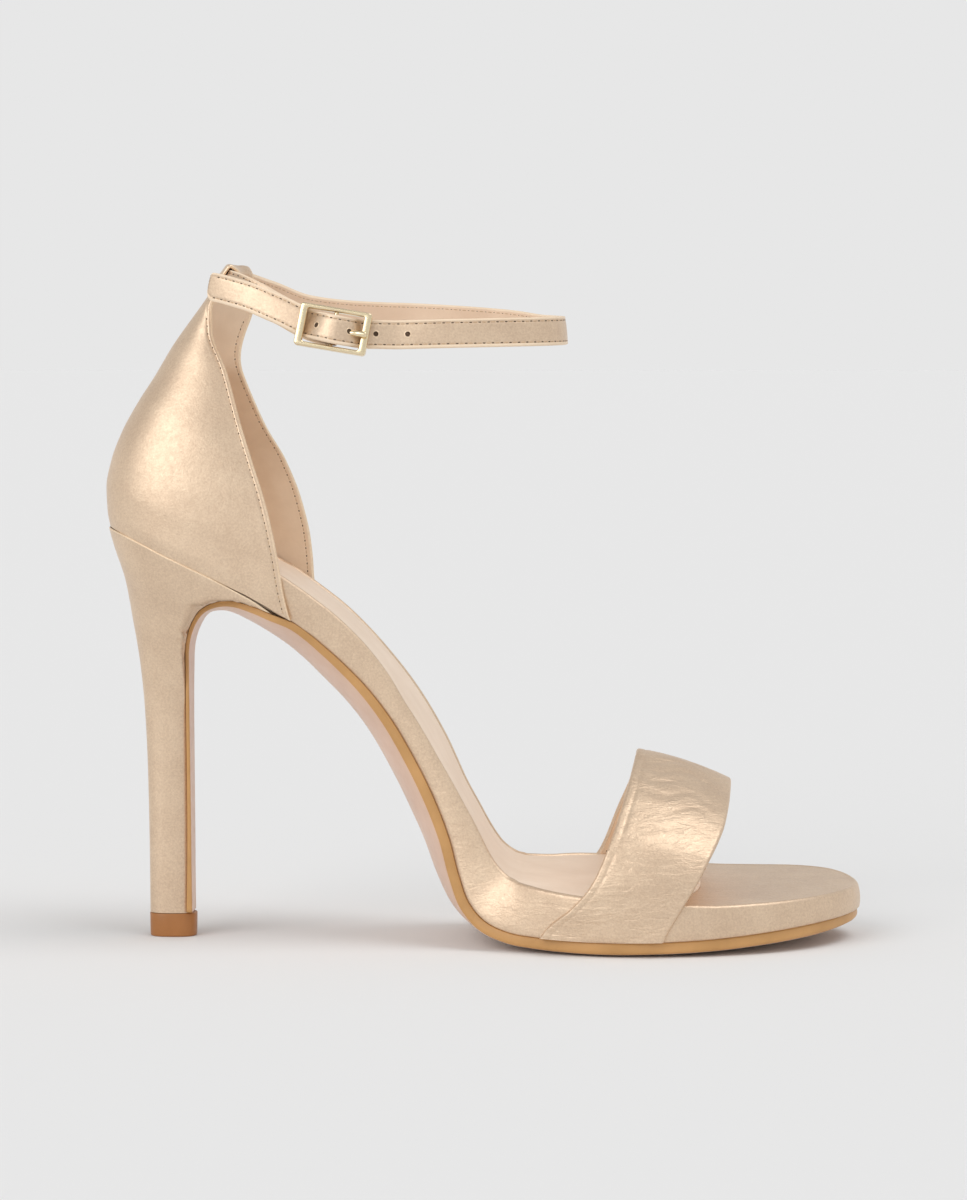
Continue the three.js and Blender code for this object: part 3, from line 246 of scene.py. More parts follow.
footRows = zoneRows(ballRows, "ball") + zoneRows(waistRows, "waist")
flapRows = [(alongAt(r[0]), upAt(r[1]) if r[1] > 0 else lastForm["liftHeight"] + gap, halfAt(r[2]), halfAt(r[2]),
             0, 0, r[3] * lastForm["archCrown"], r[4] * lastForm["breastSole"], 0, lastForm["stemWidth"])
            for r in breastRows]
footStretch = lastForm["footStretch"] * lastForm["baseLength"]
flapStretch = lastForm["flapStretch"] * lastForm["breastSole"]
lastLine = ShoeLine(footRows + zoneRows(seatRows, "seat", "breast"), lambda s: np.full(np.shape(s), footStretch))
seatStart = lastLine.stops[len(footRows) - 1]
soleLine = ShoeLine(footRows + flapRows, lambda s: footStretch
                    + np.clip((s - seatStart + 8) / 16, 0, 1) * (flapStretch - footStretch))


class Plan:
    # the outline over a line, rounded through its rows: inner side from the heel, toe, outer side
    def __init__(self, chain, tip, closed):
        self.chain, self.tip, self.closed = chain, tip, closed
        run = unit(np.roll(chain, -1, 0) - np.roll(chain, 1, 0) if closed else np.gradient(chain, axis=0))
        self.inward = np.column_stack([-run[:, 1], run[:, 0]])

    def drawn(self, inset):
        # the outline drawn in by a distance, which may be one for each point
        return self.chain + self.inward * np.broadcast_to(inset, len(self.chain))[:, None]


def planOf(line, count, closed):
    rows, steps = len(line.stops), 24
    inside = np.column_stack([line.stops, line.rows["medial"]])[::-1]
    outside = np.column_stack([line.stops, -line.rows["lateral"]])[1:rows - closed]
    chain = runThrough(np.concatenate([inside, outside]), steps, closed)
    split = steps * (rows - 1)
    rest = np.concatenate([chain[split:], chain[:1]]) if closed else chain[split:]
    halves = evenly(chain[:split + 1], count), evenly(rest, count)[1:count - closed]
    return Plan(np.concatenate(halves), count - 1, closed)


# Meshes

def finishMesh(name, points, faces, materials, slots=None, merge=2e-6):
    mesh = bpy.data.meshes.new(name)
    mesh.from_pydata([tuple(p) for p in np.asarray(points, float) * 0.001], [], [list(map(int, f)) for f in faces])
    for material in materials:
        mesh.materials.append(material)
    if slots is not None:
        mesh.polygons.foreach_set("material_index", np.asarray(slots, np.int32))
    work = bmesh.new()
    work.from_mesh(mesh)
    bmesh.ops.remove_doubles(work, verts=work.verts, dist=merge)
    bmesh.ops.dissolve_degenerate(work, dist=1e-7, edges=work.edges)
    bmesh.ops.recalc_face_normals(work, faces=work.faces)
    for face in work.faces:
        face.smooth = True
    work.to_mesh(mesh)
    work.free()
    piece = bpy.data.objects.new(name, mesh)
    bpy.context.scene.collection.objects.link(piece)
    return piece


def gridFaces(rows, columns, closed=False, first=0):
    faces = []
    for k in range(rows - 1):
        for i in range(columns if closed else columns - 1):
            a, b = first + k * columns + i, first + k * columns + (i + 1) % columns
            faces.append((a, b, b + columns, a + columns))
    return faces


def fanFaces(first, count, centre):
    return [(first + i, first + (i + 1) % count, centre) for i in range(count)]


def plateMesh(name, line, plan, layers, capLevels, materials, ringSlots=None, extraInset=None):
    # rings round a plan from the bottom up, closed with grids across; layers are (inset, level, crowned)
    def outlineAt(inset, level, crowned):
        drawn = plan.drawn(inset)
        if extraInset is not None:
            drawn = plan.drawn(inset + extraInset(line.over(*drawn.T, level(*drawn.T), crowned)))
        return drawn

    size = len(plan.chain)
    ringSlots = ringSlots or [0] * (len(layers) - 1)
    points, faces, slots = [], gridFaces(len(layers), size, True), list(np.repeat(ringSlots, size))
    for inset, level, crowned in layers:
        s, y = outlineAt(inset, level, crowned).T
        points.append(line.over(s, y, level(s, y), crowned))
    shares = (0.5 - 0.5 * np.cos(np.linspace(0, np.pi, 33)))[None, :, None]
    total = len(layers) * size
    for end, level in zip((0, -1), capLevels):
        inset, _, crowned = layers[end]
        drawn = outlineAt(inset, level, crowned)
        inner, outer = drawn[:plan.tip + 1][::-1], drawn[plan.tip:]
        if plan.closed:
            outer = np.concatenate([outer, drawn[:1]])
        s, y = (inner[:, None] * (1 - shares) + outer[:, None] * shares).reshape(-1, 2).T
        points.append(line.over(s, y, level(s, y), crowned))
        cap = gridFaces(len(inner), shares.size, False, total)
        faces += cap
        slots += [ringSlots[end]] * len(cap)
        total += len(s)
    points = np.concatenate(points)
    points[:, 2] = np.maximum(points[:, 2], 0)  # nothing goes under the floor
    return finishMesh(name, points, faces, materials, slots, merge=6e-6)


def place(piece, slot, *nodes):
    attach(piece, "root")
    if nodes:
        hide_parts(*nodes)


# Materials

def newMaterial(name, settings):
    material = bpy.data.materials.new(name)
    material.use_nodes = True
    shader = material.node_tree.nodes["Principled BSDF"]
    for key, value in settings.items():
        shader.inputs[key].default_value = (*value, 1) if isinstance(value, tuple) else value
    return material, material.node_tree, shader


def addNode(tree, kind, links, **settings):
    made = tree.nodes.new("ShaderNode" + kind)
    for key, value in settings.items():
        if hasattr(made, key):
            setattr(made, key, value)
        else:
            made.inputs[key].default_value = value
    for key, socket in links.items():
        tree.links.new(socket, made.inputs[key])
    return made


def placeOn(tree, stretch=(1, 1, 1), turn=(0, 0, 0)):
    # coordinates on the piece, in metres, turned and stretched for a grain with a direction
    where = addNode(tree, "TexCoord", {}).outputs["Object"]
    return addNode(tree, "Mapping", {"Vector": where}, Scale=stretch, Rotation=turn).outputs["Vector"]


def noise(tree, where, scale, detail, roughness=0.5, distortion=0.0):
    return addNode(tree, "TexNoise", {"Vector": where}, Scale=scale, Detail=detail, Roughness=roughness,
                   Distortion=distortion).outputs["Fac"]


def cellsOf(tree, where, scale):
    return addNode(tree, "TexVoronoi", {"Vector": where}, Scale=scale).outputs["Distance"]


def spread(tree, source, low, high, outLow, outHigh):
    made = addNode(tree, "MapRange", {"Value": source})
    for key, value in (("From Min", low), ("From Max", high), ("To Min", outLow), ("To Max", outHigh)):
        made.inputs[key].default_value = value
    return made.outputs["Result"]


def blendColours(tree, share, first, second):
    made = addNode(tree, "Mix", {}, data_type="RGBA")
    tree.links.new(share, made.inputs["Factor"])
    made.inputs[6].default_value, made.inputs[7].default_value = (*first, 1), (*second, 1)
    return made.outputs[2]


def relief(tree, shader, heights):
    # bumps laid over one another, each (height, depth in millimetres, strength)
    below = {}
    for height, depth, strength in heights:
        bump = addNode(tree, "Bump", {"Height": height, **below}, Distance=depth * 0.001, Strength=strength)
        below = {"Normal": bump.outputs["Normal"]}
    tree.links.new(below["Normal"], shader.inputs["Normal"])


goldFinish = {
    "light": (0.815, 0.636, 0.461), "dark": (0.655, 0.485, 0.343), "metallic": 0.72, "roughness": (0.38, 0.50),
    "coat": 0.12, "pebble": 2000, "mottle": 90, "creases": 0.5,
}


def goldLeather(name, finish, creaseStretch=(220, 220, 220), creaseTurn=(0, 0, 0), creaseDepth=0.035):
    material, tree, shader = newMaterial(name, {
        "Metallic": finish["metallic"], "Coat Weight": finish["coat"], "Coat Roughness": 0.3,
        "Specular IOR Level": 0.5})
    plain, creased = placeOn(tree), placeOn(tree, creaseStretch, creaseTurn)
    mottle = noise(tree, plain, finish["mottle"], 4, 0.6)
    speck = noise(tree, plain, finish["pebble"] * 0.9, 3, 0.7)
    fine = noise(tree, plain, finish["pebble"] * 0.35, 5, 0.65)
    crease = spread(tree, noise(tree, creased, 1, 4, 0.62, 0.8), 0.42, 0.58, 0, 1)
    broad = spread(tree, mottle, 0.3, 0.7, 0.1, 0.32)
    tone = addNode(tree, "Math", {0: broad, 1: speck}, operation="ADD").outputs["Value"]
    tree.links.new(blendColours(tree, spread(tree, tone, 0.5, 0.95, 0, 1), finish["dark"], finish["light"]),
                   shader.inputs["Base Color"])
    low, high = finish["roughness"]
    tree.links.new(spread(tree, fine, 0.3, 0.7, high, low), shader.inputs["Roughness"])
    relief(tree, shader, [(crease, creaseDepth, finish["creases"]), (fine, 0.06, 0.42),
                          (cellsOf(tree, plain, finish["pebble"]), 0.05, 0.35), (speck, 0.03, 0.35)])
    return material


def softLeather(name, light, dark, roughness, grain=900, depth=0.05, sheen=0.1):
    material, tree, shader = newMaterial(name, {
        "Sheen Weight": sheen, "Sheen Roughness": 0.4, "Specular IOR Level": 0.4})
    plain = placeOn(tree)
    fine = noise(tree, plain, grain, 4, 0.65)
    tone = spread(tree, noise(tree, plain, 70, 5, 0.6), 0.35, 0.65, 0, 1)
    tree.links.new(blendColours(tree, tone, dark, light), shader.inputs["Base Color"])
    tree.links.new(spread(tree, fine, 0.3, 0.7, roughness + 0.08, roughness - 0.08), shader.inputs["Roughness"])
    relief(tree, shader, [(fine, depth, 0.5), (cellsOf(tree, plain, grain * 1.4), depth * 0.6, 0.4)])
    return material


def goldMetal(name):
    material, tree, shader = newMaterial(name, {"Metallic": 1.0, "Coat Weight": 0.2, "Coat Roughness": 0.08})
    haze = noise(tree, placeOn(tree), 260, 5, 0.6)
    tree.links.new(blendColours(tree, haze, (0.80, 0.66, 0.42), (0.88, 0.75, 0.52)), shader.inputs["Base Color"])
    tree.links.new(spread(tree, haze, 0.3, 0.7, 0.24, 0.16), shader.inputs["Roughness"])
    relief(tree, shader, [(noise(tree, placeOn(tree, (300, 300, 4200)), 1, 3), 0.01, 0.2)])
    return material


goldPlain = goldLeather("gold leather", goldFinish)
goldVamp = goldLeather("gold leather, creased over the toes", goldFinish, (150, 110, 620), (0, 0.35, 0), 0.16)
goldWaist = goldLeather("gold leather, drawn over the board", goldFinish, (170, 320, 520), (0, -0.9, 0), 0.07)
goldHeel = goldLeather("gold leather, wrapped on the heel", goldFinish, (420, 420, 200), (0, 0.2, 0), 0.03)
# a lighter copy of the gold leather for folded and rolled edges: a painted highlight where the edge catches the light
goldEdgeHighlight = goldLeather("gold leather, folded edge, painted highlight",
                       dict(goldFinish, light=(0.95, 0.76, 0.55), dark=(0.80, 0.60, 0.41)))
sockLeather = softLeather("cream sock leather", (0.92, 0.74, 0.58), (0.86, 0.675, 0.515), 0.55)
liningLeather = softLeather("beige lining leather", (0.90, 0.71, 0.53), (0.80, 0.61, 0.44), 0.62)
strapLining = softLeather("peach strap lining", (0.86, 0.65, 0.48), (0.78, 0.57, 0.41), 0.55)
soleUnder = softLeather("rose beige sole", (0.78, 0.55, 0.42), (0.70, 0.48, 0.36), 0.38, 500, 0.03, 0.0)
tanEdge = softLeather("tan painted edge", (0.62, 0.34, 0.13), (0.52, 0.28, 0.10), 0.42, 700, 0.04, 0.0)
creamEdge = softLeather("cream painted edge", (0.90, 0.725, 0.54), (0.83, 0.65, 0.47), 0.45, 800, 0.03, 0.0)
liftPlastic = softLeather("brown heel tread", (0.42, 0.175, 0.055), (0.35, 0.14, 0.04), 0.36, 500, 0.03, 0.0)
# near black: painted shade in the groove under the counter's hem, in the needle holes and in the punched holes
paintedShade = softLeather("painted shade, seams and holes", (0.10, 0.055, 0.03), (0.07, 0.04, 0.02), 0.8)
threadGold = softLeather("gold thread", (0.62, 0.42, 0.25), (0.5, 0.33, 0.19), 0.5, 3000, 0.03)
buckleMetal = goldMetal("pale gold metal")
print("materials made")


# Board under the foot, sock and outsole

boardForm = {
    "rimWidth": 2.3, "rollRadius": 1.0, "rimDrop": 0.13, "foot": 0.7, "bulge": 0.22, "grooveDepth": 1.2,
    "grooveStart": (46, 74), "underCounter": 2.3, "sockFront": 41.0, "sockRound": 20.0, "sockBelow": 0.35,
    "sockOver": 0.35, "sockFade": (58, 80), "soleInset": 0.9,
    "sockEdge": [(0.25, 1.1), (0.05, 0.5), (0.0, 0.22), (0.1, 0.07), (0.3, 0.01), (0.8, 0.0)],  # inset, depth
    "soleEdge": [(0.5, 1.0), (0.3, 0.985), (0.17, 0.95), (0.08, 0.88), (0.03, 0.78), (0.0, 0.66), (0.0, 0.4),
                 (0.0, 0.16), (0.02, 0.06), (0.09, 0.015), (0.4, 0.0)],  # inset, share of the thickness
}
counterEdge = np.array([(87.0, 34.2), (95.5, 31.9), (103.7, 30.6), (118.6, 27.2)])  # up, along


def boardTop(s, y):
    share = 0.5 + y / lastLine.value("span", s)
    near, far = lastLine.value("near", s), lastLine.value("far", s)
    return near + share * (far - near)


def even(level):
    return lambda s, y: 0 * s + level


def underTop(depth, grooved=0.0):
    groove = grooved * boardForm["grooveDepth"]
    return lambda s, y: boardTop(s, y) - depth - groove * smoothStep(*boardForm["grooveStart"], s)


def underCounter(ring):
    # the board and sock draw in behind the counter's wall
    edge = np.interp(ring[:, 2], counterEdge[:, 0], counterEdge[:, 1])
    return np.where(ring[:, 2] > 80, boardForm["underCounter"] * smoothStep(-0.5, 3.5, edge - ring[:, 0]), 0)


def makeBoard():
    form = boardForm
    roll, width, foot, drop = form["rollRadius"], form["rimWidth"], form["foot"], form["rimDrop"]
    layers = [(1.4, even(0.02), True), (0.45, even(0.03), True), (0.12, even(0.28), True), (0.0, even(foot), True)]
    for share in (0.15, 0.3, 0.45, 0.6, 0.75, 0.9, 1.0):
        layers.append((-form["bulge"] * math.sin(math.pi * share),
                       lambda s, y, k=share: foot + k * (boardTop(s, y) - roll - foot), False))
    for turn in np.radians(np.arange(15, 121, 15)):
        layers.append((roll * (1 - math.cos(turn)), underTop(roll * (1 - math.sin(turn))), False))
    for inset, share in ((width - 0.35, 0.35), (width - 0.1, 0.75), (width + 0.3, 1.0)):
        layers.append((inset, underTop(drop * roll, share), False))
    piece = plateMesh("wrapped_board", lastLine, planOf(lastLine, 330, True), layers,
                      (even(0.02), underTop(drop * roll, 1.0)), [goldWaist], None, underCounter)
    place(piece, "gold_leather", "platform")


def sockPlan(count):
    whole = planOf(lastLine, 400, True)
    inner, outer = whole.chain[:whole.tip + 1][::-1], np.concatenate([whole.chain[whole.tip:], whole.chain[:1]])
    front, roundness = boardForm["sockFront"], boardForm["sockRound"]
    s = front + roundness * (1 - np.cos(np.linspace(0, np.pi / 2, 30)))
    s = np.concatenate([s, np.linspace(s[-1], lastLine.length, 260)[1:]])
    narrow = np.sqrt(1 - np.clip(1 - (s - front) / roundness, 0, 1) ** 2)
    innerPart, outerPart = (np.column_stack([s, np.interp(s, side[:, 0], side[:, 1]) * narrow])
                            for side in (inner, outer))
    chain = np.concatenate([evenly(innerPart[::-1], count), evenly(outerPart, count)[1:-1]])
    return Plan(chain, count - 1, True)


def makeSock():
    form = boardForm

    def level(depth):
        rise = form["sockOver"] + form["sockBelow"]
        return lambda s, y: boardTop(s, y) + form["sockOver"] - rise * smoothStep(*form["sockFade"], s) - depth

    layers = [(form["rimWidth"] + inset, level(depth), False) for inset, depth in form["sockEdge"]]
    piece = plateMesh("sock", lastLine, sockPlan(300), layers, (layers[0][1], layers[-1][1]), [sockLeather],
                      None, underCounter)
    place(piece, "sock_leather", "sock_liner")


def makeOutsole():
    def bottom(s, y):
        share = np.minimum(np.abs(y) / np.maximum(soleLine.half(s, y), 1), 1)
        return -soleLine.value("sole", s) - soleLine.value("belly", s) * (1 - share * share)

    plan = planOf(soleLine, 380, False)
    s = plan.chain[:, 0]
    waist, thickness = boardForm["soleInset"] * np.clip((seatStart - s) / 10, 0, 1), soleLine.value("sole", s)
    layers = [(waist + inset * thickness, lambda a, b, k=share: k * bottom(a, b), True)
              for inset, share in boardForm["soleEdge"]]
    piece = plateMesh("leather_sole", soleLine, plan, layers, (bottom, even(0)), [tanEdge, soleUnder],
                      [1, 1] + [0] * 8)
    place(piece, "sole_leather", "outsole")


makeBoard()
makeSock()
makeOutsole()
print("board, sock and sole made")


# Heel and its tread

heelRows = [  # back, backUp, front, frontUp, flare, fullness
    (-0.003, 1.035, 0.262, 0.815, 1.01, 2.9), (0.0005, 0.999, 0.26, 0.775, 0.985, 2.9),
    (0.0072, 0.9458, 0.235, 0.712, 0.83, 2.8), (0.019, 0.868, 0.2, 0.676, 0.58, 2.7),
    (0.0276, 0.776, 0.14, 0.64, 0.31, 2.6), (0.0366, 0.672, 0.118, 0.605, 0.135, 2.6),
    (0.0426, 0.561, 0.11, 0.534, 0.055, 2.6), (0.0463, 0.417, 0.11, 0.409, 0.02, 2.6),
    (0.0483, 0.223, 0.11, 0.222, 0, 2.6), (0.0489, 0, 0.11, 0, -0.02, 2.6),
]
heelForm = {
    "around": 144, "samples": 420, "rings": 110, "topRoll": 0.3, "seam": 0.07, "arch": (0.25, 0.6),
    "hemFade": 2.0, "hemReach": (3.0, 6.0), "hemOver": 0.33, "hemBlend": (0.8, 15), "ledge": 1.2,
    "tuckBlend": (0.6, 3.0), "onSole": 0.12, "behindSole": 0.15,
}


def heelPoint(values, turn):
    back, backUp, front, frontUp, flare, fullness = values
    c, w = squared(turn, fullness)
    share = 0.5 - 0.5 * c
    x = alongAt(back + (front - back) * share)
    z = (backUp + (frontUp - backUp) * share) * lastForm["heelHeight"]
    return np.stack([x, halfAt(flare) * w, z], -1)


def cutWhere(line, over):
    # the rest of a line from where the value that goes along it rises past nought
    start = int(np.argmax(over > 0))
    if start > 0:
        share = over[start - 1] / (over[start - 1] - over[start])
        line = np.concatenate([[line[start - 1] + share * (line[start] - line[start - 1])], line[start:]])
    return line


def rollIn(where, radius):
    # how far a rolled edge draws in at distances from it
    return radius * (1 - np.sqrt(1 - np.clip(1 - where / radius, 0, 1) ** 2))


def makeHeel(hem):
    form = heelForm
    foot = (lastForm["liftHeight"] + 0.06) / lastForm["heelHeight"]
    rows = [list(r) if r[1] > 0 else [r[0], foot, r[2], foot, r[4], r[5]] for r in heelRows]
    at = np.linspace(0, len(rows) - 1, form["samples"])
    columns = [smoothAt(np.arange(len(rows)), [r[k] for r in rows], at) for k in range(6)]
    centre = ((heelPoint(columns, 0) + heelPoint(columns, np.pi)) / 2)[::60]
    hem = evenly(hem, 900)
    hemLengths = lengthsOf(hem)
    rings, below = [], []
    for turn in turnsOf(form["around"]):
        line = heelPoint(columns, turn)
        line = cutWhere(line, -form["seam"] - lastLine.levelOf(line, seatStart - 12, lastLine.length + 14))
        lengths = lengthsOf(line)
        inner = np.linspace(0.9, lengths[-1], form["rings"] - 8)
        where = np.concatenate([[0, 0.06, 0.14, 0.24, 0.36, 0.5, 0.62, 0.75], inner])
        column = alongLine(line, where, lengths)
        middle = np.interp(column[:, 2], centre[::-1, 2], centre[::-1, 0])
        inward = unit(np.column_stack([middle - column[:, 0], -column[:, 1], 0 * middle]))
        # the wrap's top edge stands flush under the counter's hem
        reach = hem - column[0]
        away = np.linalg.norm(reach, axis=1)
        near = int(np.argmin(away))
        held = smoothStep(0, form["hemFade"], min(near, len(hem) - 1 - near) * hemLengths[-1] / len(hem))
        held = held * (1 - smoothStep(*form["hemReach"], away[near]))
        step = (reach[near] * [1, 1, 0] - inward[0] * form["hemOver"]) * held
        column += step * (1 - smoothStep(*form["hemBlend"], where))[:, None]
        column += inward * rollIn(where, form["topRoll"])[:, None]
        # a ledge tucked in under the hem, coloured as painted shade in the seam's groove
        rings.append(np.concatenate([[column[0] + inward[0] * form["ledge"] * held], column]))
        below.append(np.concatenate([[0], where]))
    flat = np.stack(rings, 1).reshape(-1, 3)  # ring by ring
    # in front it follows the sole's inner face, measured outward from the middle of the open arch
    centre = np.array([alongAt(form["arch"][0]), upAt(form["arch"][1])])
    path = np.linspace(seatStart - 16, soleLine.length, 900)
    way, spoke = soleLine.at(path) - centre, flat[:, [0, 2]] - centre
    bearing, turned = (np.arctan2(v[:, 1], -v[:, 0]) for v in (way, spoke))
    order = np.argsort(bearing)
    s = np.interp(turned, bearing[order], path[order])
    rim = np.interp(turned, bearing[order], np.linalg.norm(way, axis=1)[order])
    rim = rim - soleLine.sunk(s, flat[:, 1]) + form["onSole"]
    length = np.linalg.norm(spoke, axis=1)
    short = np.maximum(rim - length, 0) * (flat[:, 0] > alongAt(0.05))
    flat[:, [0, 2]] += spoke / length[:, None] * short[:, None]
    flat[:, 0] = np.minimum(flat[:, 0], lastForm["lipFront"])
    # what lies on the sole's inner face stays behind it, but for the edge under the hem
    limit = np.minimum(np.abs(flat[:, 1]), soleLine.half(s, flat[:, 1]) - form["behindSole"])
    held = smoothStep(0, 0.5, short) * smoothStep(*form["tuckBlend"], np.stack(below, 1).reshape(-1))
    flat[:, 1] += held * (np.sign(flat[:, 1]) * np.maximum(limit, 0) - flat[:, 1])
    rows = len(rings[0])
    # slot 1 is painted shade on the ledge, slot 2 the lighter gold as a painted highlight on the rolled edge, slot 0
    # the wrap
    slots = np.repeat([1] + [2] * 5 + [0] * (rows - 7), form["around"])  # ledge, folded edge, wrap
    piece = finishMesh("wrapped_heel", flat, gridFaces(rows, form["around"], True), [goldHeel, paintedShade, goldEdgeHighlight],
                       slots)
    place(piece, "gold_leather", "heel")


def makeLift():
    back, _, front, _, flare, fullness = heelRows[-1]
    height, sides, rings = lastForm["liftHeight"], 96, []
    outline = heelPoint([back, 0, front + 0.0015, 0, flare, fullness], turnsOf(sides))
    for z, grown in ((0.0, -0.45), (0.08, -0.2), (0.25, -0.05), (0.6, 0.0), (height * 0.5, 0.05),
                     (height - 0.3, 0.1), (height - 0.12, 0.02), (height, -0.35)):
        ring = outline + unit(outline - outline.mean(0)) * grown
        ring[:, 2] = z
        rings.append(ring)
    points = np.concatenate(rings + [[rings[0].mean(0)], [rings[-1].mean(0)]])
    total = len(rings) * sides
    faces = gridFaces(len(rings), sides, True) + fanFaces(0, sides, total) + fanFaces(total - sides, sides, total + 1)
    place(finishMesh("heel_tread", points, faces, [liftPlastic]), "lift_plastic", "top_lift")


makeLift()
print("tread made")


# Stitches

threadForm = {"pitch": 2.1, "length": 1.2, "radius": 0.14, "hole": 0.21, "slit": 0.58, "sunk": 0.05}


def capsule(centre, along, out, length, radius, squash):
    turn = np.linspace(-np.pi / 2, np.pi / 2, 7)[:, None, None]
    girth = radius * np.maximum(np.cos(turn), 0.02) ** 0.6
    angle = turnsOf(8)[None, :, None]
    points = (centre + along * (length / 2 * np.sin(turn)) + np.cross(along, out) * (girth * np.cos(angle))
              + out * (girth * squash * np.sin(angle)))
    return points.reshape(-1, 3)


def stitchRow(name, line, out, form=threadForm):
    # a thread from hole to hole along a line, with the holes between the stitches drawn as dark capsules of painted
    # shade
    lengths = lengthsOf(line)
    count = max(int(lengths[-1] / form["pitch"]), 1)
    for ending, share, sunk, length, radius, squash, material in (
            ("_thread", 0.5, 1.0, form["length"], form["radius"], 0.7, threadGold),
            ("_holes", 1.0, 0.4, form["slit"], form["hole"], 0.3, paintedShade)):
        points, faces = [], []
        for i in range(count):
            at = (i + share) / count * lengths[-1]
            centre, ahead, behind = (alongLine(line, at + d, lengths) for d in (0, 0.3, -0.3))
            along, face = unit(ahead - behind), unit(alongLine(out, at, lengths))
            face = unit(face - along * face.dot(along))
            points.append(capsule(centre - face * form["sunk"] * sunk, along, face, length, radius, squash))
            faces += gridFaces(7, 8, True, i * 56)
        place(finishMesh(name + ending, np.concatenate(points), faces, [material], merge=1e-7), "gold_leather")


# Counter round the heel

counterRows = [  # back, up, edge, edgeUp, half, fullness, reach, tab, tabFullness
    (0.004, -0.06, 0.262, -0.45, 0.462, 3.3, 0.018, 0.462, 3.3),
    (0, 0.005, 0.2475, -0.375, 0.485, 3.3, 0.02, 0.485, 3.3),
    (-0.0035, 0.07, 0.2379, -0.26, 0.5, 3.2, 0.0217, 0.5, 3.2),
    (-0.005, 0.167, 0.2313, -0.134, 0.5, 3.1, 0.0251, 0.5, 3.1),
    (0.0015, 0.275, 0.223, -0.008, 0.49, 3, 0.0276, 0.49, 3),
    (0.0155, 0.392, 0.2125, 0.12, 0.465, 2.9, 0.0276, 0.465, 2.9),
    (0.036, 0.51, 0.1975, 0.26, 0.425, 2.8, 0.0255, 0.425, 2.8),
    (0.06, 0.628, 0.1798, 0.425, 0.36, 2.6, 0.0148, 0.36, 2.6),
    (0.0838, 0.754, 0.159, 0.64, 0.27, 2.4, 0.0085, 0.27, 2.4),
    (0.1079, 0.86, 0.1385, 0.8, 0.19, 2.2, 0.031, 0.3, 1.5),
    (0.122, 0.92, 0.1365, 0.9, 0.155, 2.1, 0.043, 0.325, 1.3),
    (0.135, 0.976, 0.1455, 0.965, 0.147, 2.1, 0.043, 0.33, 1.25),
]
counterForm = {
    "height": 65.0, "wall": 2.0, "rows": 150, "stitchIn": 1.15, "pucker": 0.10, "seatGap": 0.14, "tuck": 0.24,
    "trough": (7.5, 4.0, 0.6), "troughRow": (4.6, 1.7),
    "edge": [(0.2, -0.04), (0.4, 0.03), (0.55, 0.2), (0.6, 0.42), (0.55, 0.66), (0.4, 0.86), (0.16, 0.98),
             (0.14, 1.1), (0.3, 1.18), (0.42, 1.36), (0.42, 1.58), (0.3, 1.82), (0.12, 1.96)],
}
edgeSteps = np.array([0, 0.15, 0.3, 0.45, 0.6, 0.75, 0.9, 1.05, 1.2, 1.4, 1.6, 1.9, 2.3, 2.8, 3.5, 4.3])
hemSteps = np.array([0, 0.05, 0.12, 0.2, 0.3, 0.42, 0.56, 0.72])


def counterAt(values, turn, depth):
    back, up, edge, edgeUp, half, fullness, reach, tab, tabFullness = values
    inner = turn > 0
    edge = edge + reach * inner
    half, fullness = np.where(inner, tab, half), np.where(inner, tabFullness, fullness)
    c, w = squared(turn, fullness)
    c = np.maximum(c, 0)
    return np.stack([alongAt(edge + (back - edge) * c) + depth * c, w * (half * lastForm["seatWidth"] - depth),
                     lastForm["heelHeight"] + (edgeUp + (up - edgeUp) * c) * counterForm["height"]], -1)


def bump(value, middle, width):
    return np.exp(-((value - middle) / width) ** 2)


def counterRing(values, swell):
    form = counterForm
    turns = np.linspace(-np.pi / 2, np.pi / 2, 1601)
    lengths = lengthsOf(counterAt(values, turns, np.zeros(len(turns))))
    total = lengths[-1]
    at = np.concatenate([edgeSteps, np.linspace(edgeSteps[-1], total - edgeSteps[-1], 130)[1:-1],
                         total - edgeSteps[::-1]])
    turn, away = np.interp(at, lengths, turns), np.minimum(at, total - at)
    middle, width, depth = form["trough"]
    hollow = depth * swell * bump(total - at, middle, width)
    pucker = form["pucker"] * (bump(away, form["stitchIn"], 0.32) - 0.6 * bump(away, 0.45, 0.4)
                               - 0.35 * bump(away, 2.2, 0.6))
    outer = counterAt(values, turn, hollow + pucker)
    lining = counterAt(values, turn, form["wall"] + 0.6 * hollow - 0.6 * np.clip(pucker, 0, 1))
    beads = []
    for end, side, reach in ((-1, -1.0, values[6]), (0, 1.0, 0)):
        forward = unit(np.array([alongAt(values[2] + reach) - alongAt(values[0]), 0,
                                 (values[3] - values[1]) * form["height"]]))
        beads.append([outer[end] + forward * f + np.array([0, side, 0]) * d for f, d in form["edge"]])
    return np.concatenate([outer, beads[0], lining[::-1], beads[1][::-1]]), len(turn)


def clipToSeat(rings, level):
    # each column starts where it meets the seat, evenly spaced up from there
    columns = []
    for line in rings.transpose(1, 0, 2):
        line = cutWhere(line, lastLine.levelOf(line, 0, lastLine.length + 14) - level)
        lengths = lengthsOf(line)
        where = np.concatenate([hemSteps, np.linspace(0.9, lengths[-1], len(rings) - len(hemSteps))])
        columns.append(alongLine(line, where, lengths))
    return np.stack(columns, 1)


